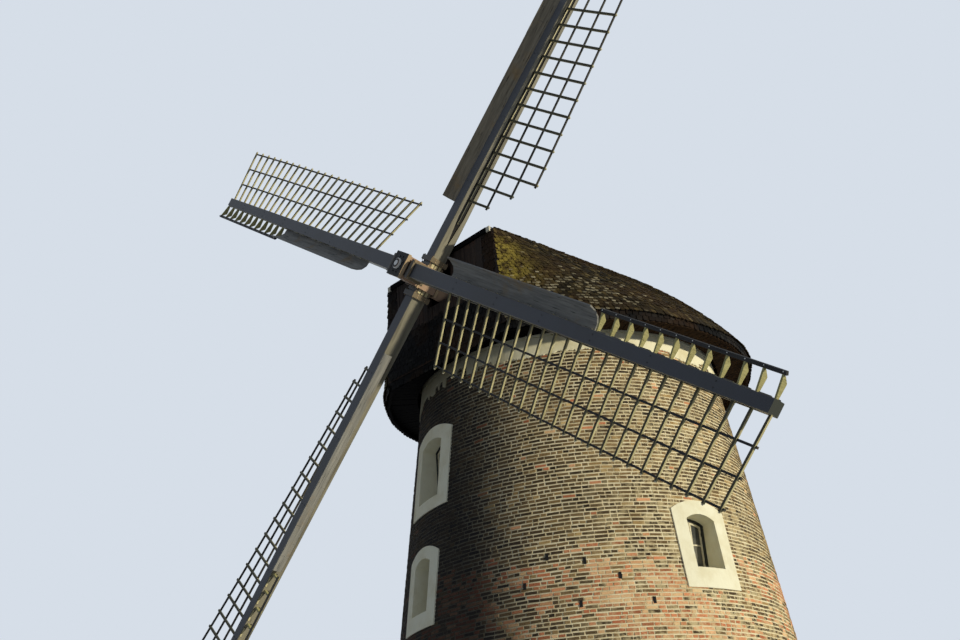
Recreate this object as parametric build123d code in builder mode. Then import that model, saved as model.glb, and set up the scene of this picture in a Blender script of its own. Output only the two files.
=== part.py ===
from build123d import *
import os
from math import acos, cos, degrees, hypot, radians, sin, sqrt, tan

# A tower windmill: a tapered brick tower, a boat-shaped cap that turns on a curb, and four
# lattice sails on two stocks. Millimetres, +Z up, the origin on the ground at the tower's
# axis, and the sails towards -Y.

os.makedirs("parts", exist_ok=True)

# Brick tower
base_radius = 4980.0
batter = 0.1332
wall_top = 12800.0
dust_wall = 500.0
ledge = 100.0
floor_ledges = (3300.0, 6300.0, 8700.0, 11200.0)
wall_gap = 2.0

# Azimuths of the four columns of openings, in degrees from +X towards +Y
left_column = -104.3
right_column = -12.0
back_column = 75.7
rear_column = 168.0
column_span = 45.0

# Windows and doors
window_width = 665.0
window_height = 970.0
window_rise = 110.0
side_sill = 7530.0
column_sills = (1530.0, 4530.0, 7400.0, 9760.0)
column_heights = (970.0, 970.0, 1010.0, 1235.0)
column_widths = (665.0, 665.0, 665.0, 880.0)
reveal_depth = 380.0
door_width = 1100.0
door_height = 2000.0
door_rise = 160.0
threshold = 150.0
lining = 20.0
band_side = 290.0
band_over = 280.0
band_under = 400.0
column_band_sides = (290.0, 290.0, 290.0, 335.0)
column_band_overs = (280.0, 280.0, 240.0, 275.0)
column_band_unders = (400.0, 400.0, 330.0, 260.0)
band_rise = 200.0
band_proud = 32.0
joint_gap = 0.2
sash_bar = 75.0
sash_depth = 70.0
glass_thickness = 6.0
door_frame_width = 80.0
door_frame_depth = 110.0
door_thickness = 55.0

# Plaster band under the cap
plaster_bottom = 12150.0
plaster_proud = 34.0

# Floors
joist_depth = 200.0
joist_width = 180.0
joist_pitch = 950.0
board_thickness = 40.0

# Curb and the cap's frame
curb_inner = 2850.0
curb_outer = 3200.0
curb_height = 150.0
track_inner = 2980.0
track_outer = 3060.0
track_height = 20.0
running_gap = 0.3
cap_ring_inner = 2900.0
cap_ring_outer = 3140.0
cap_ring_height = 150.0
sheer_x = 1550.0
sheer_width = 220.0
sheer_height = 300.0
sheer_back = 2900.0
outrigger_width = 140.0
outrigger_count = 12

# Cap outline: an arc from the eave to the ridge, on a circle cut off straight in front
cap_front = 3700.0
eave_height = 12700.0
eave_radius = 4150.0
eave_slope = 52.0
ridge_slope = 25.0
ridge_height = 16000.0
ridge_half = 90.0
shoulder_height = 14930.0
shoulder_corner = 1750.0
front_hip_run = 1500.0
rear_run = 900.0
roof_drop = 100.0
roof_inset = 60.0
front_wall_thickness = 80.0
fascia_length = 3200.0
skirt_height = 200.0
skirt_inset = 40.0
skirt_thickness = 60.0
soffit_inner = 3400.0
soffit_thickness = 30.0
soffit_height = 60.0
fascia_height = 110.0
fascia_depth = 60.0
fascia_overhang = 60.0
ridge_cap_width = 200.0
ridge_cap_thickness = 40.0

# Windshaft, its tilt and its bearings
hub_height = 14450.0
hub_forward = 4560.0
shaft_tilt = 10.8
neck_radius = 230.0
neck_start = 1170.0
neck_end = 1400.0
body_radius = 290.0
tail_radius = 90.0
tail_start = 5960.0
shaft_end = 6250.0
bearing_gap = 0.05
breast_beam_y = -3370.0
breast_beam_depth = 300.0
breast_beam_height = 380.0
breast_beam_length = 3500.0
neck_block_width = 700.0
tail_beam_height = 240.0
tail_beam_depth = 220.0
tail_block_width = 300.0
tail_block_length = 150.0
shaft_taper = 0.74
shaft_opening = 740.0

# Stocks and poll end
sail_turn = -36.57
stock_spacing = 480.0
stock_half_length = 11300.0
stock_straight = 900.0
stock_width = 320.0
stock_depth = 340.0
tip_width = 230.0
tip_depth = 215.0
poll_half = 250.0
poll_front = 290.0
poll_back = 750.0
poll_neck = 1000.0
poll_neck_radius = 300.0
stock_clearance = 20.0
boss_radius = 100.0
boss_height = 50.0
wedge_start = 60.0
wedge_end = 330.0
clamp_thickness = 50.0
clamp_distance = 420.0
clamp_width = 110.0

# Sails
bar_spacing = 390.0
first_bar = 1914.0
bar_count = 25
bar_width = 52.0
bar_depth = 40.0
uplong_size = 38.0
uplong_radii = (698.0, 1178.0, 1658.0)
lattice_lean = 0.0085
bar_overhang = 75.0
uplong_overhang = 60.0
uplong_back = 12.0
uplong_step = 4
front_pivot = 0.0
back_pivot = -60.0
root_twist = 18.2
middle_twist = 10.0
tip_twist = -2.2
stepped_bars = 2
bracket_from = 14
bracket_thickness = 40.0
bracket_outline = ((90.0, 82.0), (465.0, 152.0), (465.0, 122.0), (365.0, 20.0), (90.0, 30.0))
leading_edge = 487.0
leading_forward = 140.0
leading_tilt = 30.0
batten_overhang = 60.0
batten_width = 64.0
batten_depth = 45.0
wind_board_start = 1800.0
wind_board_end = 6840.0
wind_board_thickness = 28.0
wind_board_curve = ((80.0, 0.0), (300.0, 22.0), (415.0, 72.0), (492.0, 142.0))


def outer_radius(height):
    """radius of the tower's outer face"""
    return base_radius - batter * height


def inner_radius(height, storey):
    """radius of the tower's inner face, thinner by one ledge at each storey"""
    thickness = dust_wall + ledge * (len(floor_ledges) - storey)
    return outer_radius(height) - thickness


def upright(azimuth):
    """the vertical plane through the tower's axis, its X outwards at the azimuth"""
    a = radians(azimuth)
    return Plane(origin=(0, 0, 0), x_dir=(cos(a), sin(a), 0), z_dir=(sin(a), -cos(a), 0))


def facing(azimuth, distance):
    """a vertical plane that faces outwards at the azimuth, with Y up"""
    a = radians(azimuth)
    origin = (distance * cos(a), distance * sin(a), 0)
    return Plane(origin=origin, x_dir=(-sin(a), cos(a), 0), z_dir=(cos(a), sin(a), 0))


def save(piece, node):
    """label a finished piece and write it under its node's name"""
    piece.part.label = node
    export_step(piece.part, f"parts/{node}.step")


def arched(width, bottom, spring, rise):
    """closed outline of an opening with a segmental head"""
    half = width / 2
    Line((-half, bottom), (half, bottom))
    Line((half, bottom), (half, spring))
    ThreePointArc((half, spring), (0, spring + rise), (-half, spring))
    Line((-half, spring), (-half, bottom))


def arch_sketch(plane, width, bottom, spring, rise, grow=0.0):
    """a sketch of an arched opening, grown evenly by a margin"""
    with BuildSketch(plane) as outline:
        with BuildLine():
            arched(width + 2 * grow, bottom - grow, spring, rise + grow)
        make_face()
    return outline


# Openings: azimuth, sill, springing, width and rise of the head
windows = [
    (azimuth, sill, sill + height, width, window_rise)
    for azimuth in (left_column, back_column)
    for sill, height, width in zip(column_sills, column_heights, column_widths)
]
for azimuth in (right_column, rear_column):
    windows.append((azimuth, side_sill, side_sill + window_height, window_width, window_rise))
doorways = [
    (azimuth, threshold, threshold + door_height, door_width, door_rise)
    for azimuth in (right_column, rear_column)
]
openings = windows + doorways

# Width of the plaster band at the sides, over and under each opening
column_bands = list(zip(column_band_sides, column_band_overs, column_band_unders))
side_bands = [(band_side, band_over, band_under)] * 2
door_bands = [(band_side, band_over, 0.0)] * 2
bands = column_bands + column_bands + side_bands + door_bands
through = base_radius + 200.0
cut_from = 1500.0


def wall_section():
    """the wall's section, from the ground up outside and down over the ledges inside"""
    points = [(outer_radius(0), 0), (outer_radius(wall_top), wall_top)]
    points.append((inner_radius(wall_top, len(floor_ledges)), wall_top))
    for storey in range(len(floor_ledges), 0, -1):
        height = floor_ledges[storey - 1]
        points.append((inner_radius(height, storey), height))
        points.append((inner_radius(height, storey - 1), height))
    points.append((inner_radius(0, 0), 0))
    return points


# Tower wall, in eight segments that each hold one column of openings or none
columns = (left_column, right_column, back_column, rear_column)
column_names = ("left", "right", "back", "rear")
half_span = column_span / 2
for index, azimuth in enumerate(columns):
    with BuildPart() as wall_segment:
        with BuildSketch(upright(azimuth - half_span)):
            with BuildLine():
                Polyline(*wall_section(), close=True)
            make_face()
        revolve(axis=Axis.Z, revolution_arc=column_span)
        for place, bottom, spring, width, rise in openings:
            if place == azimuth:
                head = arch_sketch(facing(azimuth, cut_from), width, bottom, spring, rise, lining + joint_gap)
                extrude(head.sketch, amount=through - cut_from, mode=Mode.SUBTRACT)
    save(wall_segment, f"wall_{column_names[index]}_column")

    following = columns[(index + 1) % len(columns)]
    pier_start = azimuth + half_span
    pier_span = (following - half_span - pier_start) % 360
    with BuildPart() as wall_pier:
        with BuildSketch(upright(pier_start)):
            with BuildLine():
                Polyline(*wall_section(), close=True)
            make_face()
        revolve(axis=Axis.Z, revolution_arc=pier_span)
    following_name = column_names[(index + 1) % len(columns)]
    save(wall_pier, f"wall_pier_{column_names[index]}_{following_name}")


def cone_profile(proud, bottom=0.0):
    """closed half profile of the tower's cone, grown by a margin"""
    low = (outer_radius(bottom) + proud, bottom)
    high = (outer_radius(wall_top) + proud, wall_top)
    Polyline((0, bottom), low, high, (0, wall_top), close=True)


# Plaster surrounds: a flat band round each opening and the lining of its reveal
with BuildPart() as cone_outside:
    with BuildSketch(Plane.XZ):
        with BuildLine():
            cone_profile(band_proud)
        make_face()
    revolve(axis=Axis.Z)

with BuildPart() as cone_inside:
    with BuildSketch(Plane.XZ):
        with BuildLine():
            cone_profile(joint_gap)
        make_face()
    revolve(axis=Axis.Z)

with BuildPart() as window_surrounds:
    for (azimuth, bottom, spring, width, rise), (side, over, under) in zip(openings, bands):
        crown = spring + rise + over - band_rise
        band = arch_sketch(facing(azimuth, cut_from), width + 2 * side, bottom - under, crown, band_rise)
        extrude(band.sketch, amount=through - cut_from)
    add(cone_inside.part, mode=Mode.SUBTRACT)
    for azimuth, bottom, spring, width, rise in openings:
        middle = outer_radius((bottom + spring) / 2)
        depth = middle - reveal_depth
        head = arch_sketch(facing(azimuth, depth), width, bottom, spring, rise, lining)
        extrude(head.sketch, amount=through - depth)
    add(cone_outside.part, mode=Mode.INTERSECT)
    for azimuth, bottom, spring, width, rise in openings:
        head = arch_sketch(facing(azimuth, cut_from), width, bottom, spring, rise)
        extrude(head.sketch, amount=through - cut_from, mode=Mode.SUBTRACT)
save(window_surrounds, "window_surrounds")


# Window frames and panes, at the back of the plastered reveal
with BuildPart() as window_frames:
    for azimuth, bottom, spring, width, rise in windows:
        back = outer_radius((bottom + spring) / 2) - reveal_depth - sash_depth - joint_gap
        head = arch_sketch(facing(azimuth, back), width, bottom, spring, rise, lining)
        extrude(head.sketch, amount=sash_depth)
        light = arch_sketch(facing(azimuth, back), width, bottom, spring, rise, lining - sash_bar)
        extrude(light.sketch, amount=sash_depth, mode=Mode.SUBTRACT)
save(window_frames, "window_frames")

with BuildPart() as window_glass:
    for azimuth, bottom, spring, width, rise in windows:
        back = outer_radius((bottom + spring) / 2) - reveal_depth - (sash_depth + glass_thickness) / 2
        pane = arch_sketch(facing(azimuth, back), width, bottom, spring, rise, lining - sash_bar - joint_gap)
        extrude(pane.sketch, amount=glass_thickness)
save(window_glass, "window_glass")

with BuildPart() as door_frames:
    for azimuth, bottom, spring, width, rise in doorways:
        back = outer_radius((bottom + spring) / 2) - reveal_depth - door_frame_depth - joint_gap
        head = arch_sketch(facing(azimuth, back), width, bottom, spring, rise, lining)
        extrude(head.sketch, amount=door_frame_depth)
        light = arch_sketch(facing(azimuth, back), width, bottom, spring, rise, lining - door_frame_width)
        extrude(light.sketch, amount=door_frame_depth, mode=Mode.SUBTRACT)
save(door_frames, "door_frames")

with BuildPart() as door_leaves:
    for azimuth, bottom, spring, width, rise in doorways:
        back = outer_radius((bottom + spring) / 2) - reveal_depth - (door_frame_depth + door_thickness) / 2
        margin = lining - door_frame_width - joint_gap
        leaf = arch_sketch(facing(azimuth, back), width, bottom, spring, rise, margin)
        extrude(leaf.sketch, amount=door_thickness)
save(door_leaves, "door_leaves")


def ring_segments(points, count):
    """a ring of equal segments, from its section in radius and height"""
    with BuildPart() as ring:
        span = 360 / count
        gap = degrees(wall_gap / max(p[0] for p in points))
        for step in range(count):
            with BuildSketch(upright(step * span)):
                with BuildLine():
                    Polyline(*points, close=True)
                make_face()
            revolve(axis=Axis.Z, revolution_arc=span - gap)
    return ring.part


def box_section(inner, outer, low, high):
    """the rectangle of a ring's section"""
    return [(inner, low), (outer, low), (outer, high), (inner, high)]


# Plaster band round the top of the wall
band_points = [
    (outer_radius(plaster_bottom) + joint_gap, plaster_bottom),
    (outer_radius(plaster_bottom) + plaster_proud, plaster_bottom),
    (outer_radius(wall_top) + plaster_proud, wall_top),
    (outer_radius(wall_top) + joint_gap, wall_top),
]
with BuildPart() as plaster_band:
    add(ring_segments(band_points, 8))
save(plaster_band, "plaster_band")

# Floors: a slab on the ground, then boards on joists that rest on the ledges
floor_names = ("first_floor", "second_floor", "third_floor", "dust_floor")
slab_height = threshold
slab_radius = inner_radius(slab_height, 0) - running_gap
with BuildPart() as ground_floor:
    Cylinder(slab_radius, slab_height, align=(Align.CENTER, Align.CENTER, Align.MIN))
save(ground_floor, "ground_floor")

for storey, height in enumerate(floor_ledges, start=1):
    top = height + joist_depth + board_thickness
    radius = inner_radius(top, storey) - wall_gap
    reach = int((radius - joist_width) / joist_pitch)
    with BuildPart() as floor:
        for row in range(-reach, reach + 1):
            with Locations((0, row * joist_pitch, height)):
                Box(2 * radius, joist_width, joist_depth, align=(Align.CENTER, Align.CENTER, Align.MIN))
        with Locations((0, 0, height)):
            Cylinder(
                radius,
                joist_depth + board_thickness,
                align=(Align.CENTER, Align.CENTER, Align.MIN),
                mode=Mode.INTERSECT,
            )
        with Locations((0, 0, height + joist_depth)):
            Cylinder(radius, board_thickness, align=(Align.CENTER, Align.CENTER, Align.MIN))
    save(floor, floor_names[storey - 1])

# Curb on the wall, with its iron track
curb_top = wall_top + curb_height
track_top = curb_top + track_height
with BuildPart() as curb_ring:
    add(ring_segments(box_section(curb_inner, curb_outer, wall_top, curb_top), 8))
save(curb_ring, "curb_ring")

with BuildPart() as curb_track:
    add(ring_segments(box_section(track_inner, track_outer, curb_top, track_top), 8))
save(curb_track, "curb_track")

# Cap frame
ring_bottom = track_top + running_gap
ring_top = ring_bottom + cap_ring_height
sheer_top = ring_top + sheer_height
wall_back = front_wall_thickness - cap_front
with BuildPart() as cap_ring:
    add(ring_segments(box_section(cap_ring_inner, cap_ring_outer, ring_bottom, ring_top), 8))
save(cap_ring, "cap_ring")

with BuildPart() as sheer_beams:
    for side in (-1, 1):
        with Locations((side * sheer_x, (wall_back + sheer_back) / 2, ring_top)):
            Box(
                sheer_width,
                sheer_back - wall_back,
                sheer_height,
                align=(Align.CENTER, Align.CENTER, Align.MIN),
            )
save(sheer_beams, "sheer_beams")

arc_radius = (ridge_height - eave_height) / (cos(radians(ridge_slope)) - cos(radians(eave_slope)))


def roof_half_width(height):
    """half width of the roof at a height, on an arc from the eave to the ridge"""
    steep = acos(cos(radians(eave_slope)) + (height - eave_height) / arc_radius)
    return eave_radius - arc_radius * (sin(radians(eave_slope)) - sin(steep))


eave_corner = sqrt(eave_radius**2 - cap_front**2)
hip_ratio = shoulder_corner / roof_half_width(shoulder_height)
side_steps = 7
rear_steps = 8
roof_levels = 8


def roof_front(height):
    """half width and Y of the roof's flat front at a height"""
    if height <= shoulder_height:
        share = (height - eave_height) / (shoulder_height - eave_height)
        return eave_corner + (shoulder_corner - eave_corner) * share, -cap_front
    share = (height - shoulder_height) / (ridge_height - shoulder_height)
    return hip_ratio * roof_half_width(height), front_hip_run * share - cap_front


def roof_outline(height, inset):
    """points of the roof's outline at a height, from the left front corner round the rear"""
    half = roof_half_width(height)
    corner, front = roof_front(height)
    length = -front / sqrt(1 - (corner / half) ** 2)
    rear = half + rear_run * (height - eave_height) / (ridge_height - eave_height)
    right = []
    for step in range(side_steps + 1):
        y = front * (1 - step / side_steps)
        right.append((half * sqrt(1 - (y / length) ** 2), y))
    for step in range(1, rear_steps):
        turn = radians(90 * step / rear_steps)
        right.append((half * cos(turn), rear * sin(turn)))
    left = [(-x, y) for x, y in reversed(right)]
    return [shrink(p, inset, half, rear, front) for p in right + [(0, rear)] + left]


def shrink(point, inset, half, rear, front):
    """move a point of the outline inwards by about the inset"""
    x, y = point
    back = rear if y > 0 else -front
    scale_x = (half - inset) / half
    scale_y = (back - inset) / back
    return (x * scale_x, y * scale_y)


def roof_solid(drop, inset, low, high):
    """the roof's solid between two heights, lowered and inset for its inner face"""
    heights = [low + (high - low) * step / roof_levels for step in range(roof_levels + 1)]
    nearest = min(range(1, roof_levels), key=lambda step: abs(heights[step] - shoulder_height + drop))
    heights[nearest] = shoulder_height - drop
    with BuildPart() as solid:
        for height in heights:
            with BuildSketch(Plane.XY.offset(height)):
                with BuildLine():
                    Polyline(*roof_outline(height + drop, inset), close=True)
                make_face()
        loft(ruled=True)
    return solid.part


ridge_top = ridge_height - ridge_cap_thickness
roof_outside = roof_solid(0.0, 0.0, eave_height, ridge_top)
roof_inside = roof_solid(roof_drop, roof_inset, eave_height - roof_drop / 2, ridge_top - roof_drop)
front_limit = shoulder_height
roof_far = 2 * eave_radius

with BuildPart() as roof_shell:
    add(roof_outside)
    add(roof_inside, mode=Mode.SUBTRACT)
    with Locations((0, wall_back, front_limit)):
        Box(
            2 * roof_far,
            2 * cap_front,
            2 * (front_limit - eave_height),
            align=(Align.CENTER, Align.MAX, Align.CENTER),
            mode=Mode.SUBTRACT,
        )

split_y = 600.0
tall = ridge_height + 100.0
for node, x_range, y_range in (
    ("roof_left", (-roof_far, 0), (-roof_far, split_y)),
    ("roof_right", (0, roof_far), (-roof_far, split_y)),
    ("roof_rear", (-roof_far, roof_far), (split_y, roof_far)),
):
    with BuildPart() as roof_piece:
        add(roof_shell.part)
        with Locations((x_range[0], y_range[0], 0)):
            Box(
                x_range[1] - x_range[0],
                y_range[1] - y_range[0],
                tall,
                align=(Align.MIN, Align.MIN, Align.MIN),
                mode=Mode.INTERSECT,
            )
    save(roof_piece, node)

# Outriggers from the cap ring out to the roof's inner face
with BuildPart() as outriggers:
    for step in range(outrigger_count):
        turn = -90 + (step + 0.5) * 360 / outrigger_count
        reach_x = cos(radians(turn)) * eave_radius
        reach_y = sin(radians(turn)) * eave_radius
        with Locations(Location((reach_x / 2, reach_y / 2, ring_bottom), (0, 0, turn))):
            Box(
                eave_radius,
                outrigger_width,
                cap_ring_height,
                align=(Align.CENTER, Align.CENTER, Align.MIN),
            )
    add(roof_inside, mode=Mode.INTERSECT)
    Cylinder(cap_ring_outer + joint_gap, 3 * ridge_height, mode=Mode.SUBTRACT)
    with Locations((0, wall_back, 0)):
        Box(
            2 * roof_far,
            roof_far,
            3 * ridge_height,
            align=(Align.CENTER, Align.MAX, Align.CENTER),
            mode=Mode.SUBTRACT,
        )
save(outriggers, "outriggers")

with BuildPart() as weather_beam:
    with Locations((0, breast_beam_y, sheer_top)):
        Box(
            breast_beam_length,
            breast_beam_depth,
            breast_beam_height,
            align=(Align.CENTER, Align.CENTER, Align.MIN),
        )
save(weather_beam, "weather_beam")

# Windshaft axis: a plane at the hub with X along the first stock and Z forwards
tilt = radians(shaft_tilt)
turn = radians(sail_turn)
forward = Vector(0, -cos(tilt), sin(tilt))
first = Vector(cos(turn), sin(turn) * sin(tilt), sin(turn) * cos(tilt))
second = Vector(-sin(turn), cos(turn) * sin(tilt), cos(turn) * cos(tilt))
hub = Vector(0, -hub_forward, hub_height)
shaft_plane = Plane(origin=hub, x_dir=(1, 0, 0), z_dir=forward)
poll_plane = Plane(origin=hub, x_dir=first, z_dir=forward)


def bearing_block(start, length, width, radius, base, reach):
    """a block on a beam with a half-round seat for the shaft"""
    with BuildPart() as block:
        with Locations((0, 0, -start - length / 2)):
            Box(width, reach, length, align=(Align.CENTER, Align.MAX, Align.CENTER))
            Cylinder(radius + bearing_gap, 2 * length, mode=Mode.SUBTRACT)
    with BuildPart() as placed:
        with Locations(shaft_plane.location):
            add(block.part)
        Box(
            2 * roof_far,
            2 * roof_far,
            base,
            align=(Align.CENTER, Align.CENTER, Align.MIN),
            mode=Mode.SUBTRACT,
        )
    return placed.part


neck_block_length = neck_end - neck_start - 30
breast_top = sheer_top + breast_beam_height
with BuildPart() as neck_bearing:
    add(bearing_block(neck_start + 15, neck_block_length, neck_block_width, neck_radius, breast_top, 600.0))
save(neck_bearing, "neck_bearing")

tail_start_block = tail_start + 110
tail_middle = tail_start_block + tail_block_length / 2
tail_axis_drop = hub_height - tail_middle * sin(tilt) - ring_top
tail_beam_y = tail_middle * cos(tilt) - hub_forward - tail_axis_drop * tan(tilt)
with BuildPart() as tail_beam:
    with Locations((0, tail_beam_y, ring_top)):
        Box(
            2 * sheer_x + sheer_width,
            tail_beam_depth,
            tail_beam_height,
            align=(Align.CENTER, Align.CENTER, Align.MAX),
        )
save(tail_beam, "tail_beam")

with BuildPart() as tail_bearing:
    add(bearing_block(tail_start_block, tail_block_length, tail_block_width, tail_radius, ring_top, 400))
save(tail_bearing, "tail_bearing")

# Front wall, with the opening that the shaft passes through
opening_axis = hub_height - (hub_forward - cap_front + front_wall_thickness / 2) * tan(tilt)
with BuildPart() as front_wall:
    add(roof_outside)
    with Locations((0, wall_back - joint_gap, eave_height)):
        Box(
            2 * roof_far,
            front_wall_thickness - joint_gap,
            shoulder_height - eave_height - joint_gap,
            align=(Align.CENTER, Align.MAX, Align.MIN),
            mode=Mode.INTERSECT,
        )
    with Locations((0, -cap_front, opening_axis)):
        Box(shaft_opening, 4 * front_wall_thickness, shaft_opening, mode=Mode.SUBTRACT)
save(front_wall, "front_wall")

with BuildPart() as front_fascia:
    with Locations((0, -cap_front - joint_gap, shoulder_height + fascia_overhang)):
        Box(
            fascia_length,
            fascia_depth,
            fascia_height,
            align=(Align.CENTER, Align.MAX, Align.MAX),
        )
save(front_fascia, "front_fascia")

# Skirt and soffit under the eave
with BuildPart() as eave_skirt:
    with BuildSketch(Plane.XY.offset(eave_height - skirt_height)):
        with BuildLine():
            Polyline(*roof_outline(eave_height, skirt_inset), close=True)
        make_face()
        with BuildLine():
            Polyline(*roof_outline(eave_height, skirt_inset + skirt_thickness), close=True)
        make_face(mode=Mode.SUBTRACT)
    extrude(amount=skirt_height - joint_gap)
save(eave_skirt, "eave_skirt")

with BuildPart() as eave_soffit:
    with BuildSketch(Plane.XY.offset(eave_height - soffit_height)):
        with BuildLine():
            Polyline(*roof_outline(eave_height, skirt_inset + skirt_thickness + joint_gap), close=True)
        make_face()
        Circle(soffit_inner, mode=Mode.SUBTRACT)
    extrude(amount=soffit_thickness)
save(eave_soffit, "eave_soffit")

# Cover on the ridge
ridge_front = roof_front(ridge_top)[1]
ridge_rear = roof_half_width(ridge_top) + rear_run * (ridge_top - eave_height) / (ridge_height - eave_height)
with BuildPart() as ridge_cap:
    with Locations((0, (ridge_front + ridge_rear) / 2, ridge_top + joint_gap)):
        Box(
            ridge_cap_width,
            ridge_rear - ridge_front + ridge_cap_width / 2,
            ridge_cap_thickness,
            align=(Align.CENTER, Align.CENTER, Align.MIN),
        )
save(ridge_cap, "ridge_cap")

# Poll end: an iron box with a socket for each stock, and the neck journal behind it
slot_width = stock_width + 2 * stock_clearance
slot_depth = stock_depth + 2 * stock_clearance
with BuildPart() as poll_end:
    with Locations(poll_plane.location):
        with Locations((0, 0, (poll_front - poll_back) / 2)):
            Box(2 * poll_half, 2 * poll_half, poll_front + poll_back)
        Box(4 * poll_half, slot_width, slot_depth, mode=Mode.SUBTRACT)
        with Locations((0, 0, -stock_spacing)):
            Box(slot_width, 4 * poll_half, slot_depth, mode=Mode.SUBTRACT)
        with Locations((0, 0, poll_front)):
            Cylinder(boss_radius, boss_height, align=(Align.CENTER, Align.CENTER, Align.MIN))
        with Locations((0, 0, -poll_neck)):
            Cylinder(
                poll_neck_radius,
                poll_neck - poll_back,
                align=(Align.CENTER, Align.CENTER, Align.MIN),
            )
        with Locations((0, 0, -neck_end)):
            Cylinder(neck_radius, neck_end - poll_neck, align=(Align.CENTER, Align.CENTER, Align.MIN))
save(poll_end, "poll_end")

# Windshaft: an eight-sided tapered timber with an iron journal at its tail
with BuildPart() as shaft_body:
    with BuildSketch(Plane.XY.offset(-neck_end)):
        RegularPolygon(body_radius, 8)
    with BuildSketch(Plane.XY.offset(-tail_start)):
        RegularPolygon(body_radius * shaft_taper, 8)
    loft(ruled=True)
    with Locations((0, 0, -shaft_end)):
        Cylinder(tail_radius, shaft_end - tail_start, align=(Align.CENTER, Align.CENTER, Align.MIN))

with BuildPart() as windshaft:
    with Locations(shaft_plane.location):
        add(shaft_body.part)
save(windshaft, "windshaft")


def stock_solid(margin=0.0):
    """a stock along Z, straight through the poll end and tapered to both tips"""
    with BuildPart() as beam:
        Box(stock_width + 2 * margin, stock_depth + 2 * margin, 2 * stock_straight)
        for side in (-1, 1):
            with BuildSketch(Plane.XY.offset(side * stock_straight)):
                Rectangle(stock_width + 2 * margin, stock_depth + 2 * margin)
            with BuildSketch(Plane.XY.offset(side * stock_half_length)):
                Rectangle(tip_width + 2 * margin, tip_depth + 2 * margin)
            loft(ruled=True)
    return beam.part


def arm_plane(centre, along, trailing):
    """a plane at a stock's centre with Z along the arm, X trailing and Y backwards"""
    return Plane(origin=centre, x_dir=trailing, z_dir=along)


rear_hub = hub - forward * stock_spacing
arms = {
    "right": arm_plane(hub, first, -second),
    "left": arm_plane(hub, -first, second),
    "upper": arm_plane(rear_hub, second, first),
    "lower": arm_plane(rear_hub, -second, -first),
}
stock_margin = stock_solid(joint_gap)

with BuildPart() as stock_pattern:
    add(stock_solid())

for node, arm in (("stock_a", "right"), ("stock_b", "upper")):
    with BuildPart() as stock:
        with Locations(arms[arm].location):
            add(stock_pattern.part)
    save(stock, node)

# Wedges that fill the sockets round both stocks, and clamps outside them
with BuildPart() as collar:
    for low, high, margin in (
        (wedge_start, wedge_end, stock_clearance - joint_gap),
        (clamp_distance - clamp_width / 2, clamp_distance + clamp_width / 2, clamp_thickness),
    ):
        with Locations((0, 0, low)):
            Box(
                stock_width + 2 * margin,
                stock_depth + 2 * margin,
                high - low,
                align=(Align.CENTER, Align.CENTER, Align.MIN),
            )
    Box(stock_width + 2 * joint_gap, stock_depth + 2 * joint_gap, 4 * clamp_distance, mode=Mode.SUBTRACT)

with BuildPart() as stock_wedges:
    for arm in arms.values():
        with Locations(arm.location):
            add(collar.part)
save(stock_wedges, "stock_wedges")


def bar_distance(number):
    """distance of a sail bar from the shaft's axis, counted outwards from one"""
    return first_bar + (number - 1) * bar_spacing


middle_number = (bar_count + 1) / 2


def twist(number):
    """twist of a bar in degrees, on a curve through the root, middle and tip"""
    share = (number - 1) / (bar_count - 1)
    bow = 4 * (middle_twist - (root_twist + tip_twist) / 2)
    return root_twist + (tip_twist - root_twist) * share + bow * share * (1 - share)


def sail_pattern(pivot, stepped):
    """one sail's lattice behind its stock: twisted bars crossed by three uplongs"""
    with BuildPart() as lattice:
        for number in range(1, bar_count + 1):
            a = radians(twist(number))
            reach = uplong_radii[-1] + bar_overhang
            if number <= stepped:
                reach = uplong_radii[number - 1] + bar_overhang
            distance = bar_distance(number)
            place = (reach / 2 * cos(a) - lattice_lean * distance, reach / 2 * sin(a) + pivot, distance)
            with Locations(Location(place, (0, 0, degrees(a)))):
                Box(reach, bar_depth, bar_width)
        for index, radius in enumerate(uplong_radii):
            start = 1 + min(index, stepped)
            numbers = list(range(start, bar_count, uplong_step)) + [bar_count]
            for lower, upper in zip(numbers, numbers[1:]):
                with BuildPart(mode=Mode.PRIVATE) as length:
                    for number, extra in ((lower, -1), (upper, 1)):
                        a = radians(twist(number))
                        end = extra * uplong_overhang if number in (start, bar_count) else 0
                        distance = bar_distance(number) + end
                        x = radius * cos(a) - lattice_lean * distance
                        y = radius * sin(a) + pivot + uplong_back
                        with BuildSketch(Plane.XY.offset(distance)):
                            with Locations((x, y)):
                                Rectangle(uplong_size, uplong_size)
                    loft(ruled=True)
                add(length.part)
        add(stock_margin, mode=Mode.SUBTRACT)
        Box(
            stock_width,
            4 * stock_depth,
            4 * stock_half_length,
            align=(Align.MAX, Align.CENTER, Align.CENTER),
            mode=Mode.SUBTRACT,
        )
    return lattice.part


patterns = {
    "front": sail_pattern(front_pivot, 0),
    "back": sail_pattern(back_pivot, stepped_bars),
}
for arm, pattern in (("right", "front"), ("left", "front"), ("upper", "back"), ("lower", "back")):
    with BuildPart() as sail:
        with Locations(arms[arm].location):
            add(patterns[pattern])
    save(sail, f"sail_lattice_{arm}")

# Leading edges: curved wind boards near the root, then brackets with a batten along their ends


def plank_outline(points, thickness):
    """closed outline of a bent plank, from the distance ahead of each point of its middle line"""
    sides = ([], [])
    for index, (x, y) in enumerate(points):
        before = points[max(index - 1, 0)]
        after = points[min(index + 1, len(points) - 1)]
        run = hypot(after[0] - before[0], after[1] - before[1])
        normal_x = -(after[1] - before[1]) / run
        normal_y = (after[0] - before[0]) / run
        for side, sign in zip(sides, (1, -1)):
            side.append((x + sign * thickness / 2 * normal_x, y + sign * thickness / 2 * normal_y))
    return sides[0] + sides[1][::-1]


def leading(points):
    """points at distances from the stock's middle and ahead of it, on the arm's leading side"""
    return [(-distance, -ahead) for distance, ahead in points]


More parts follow.
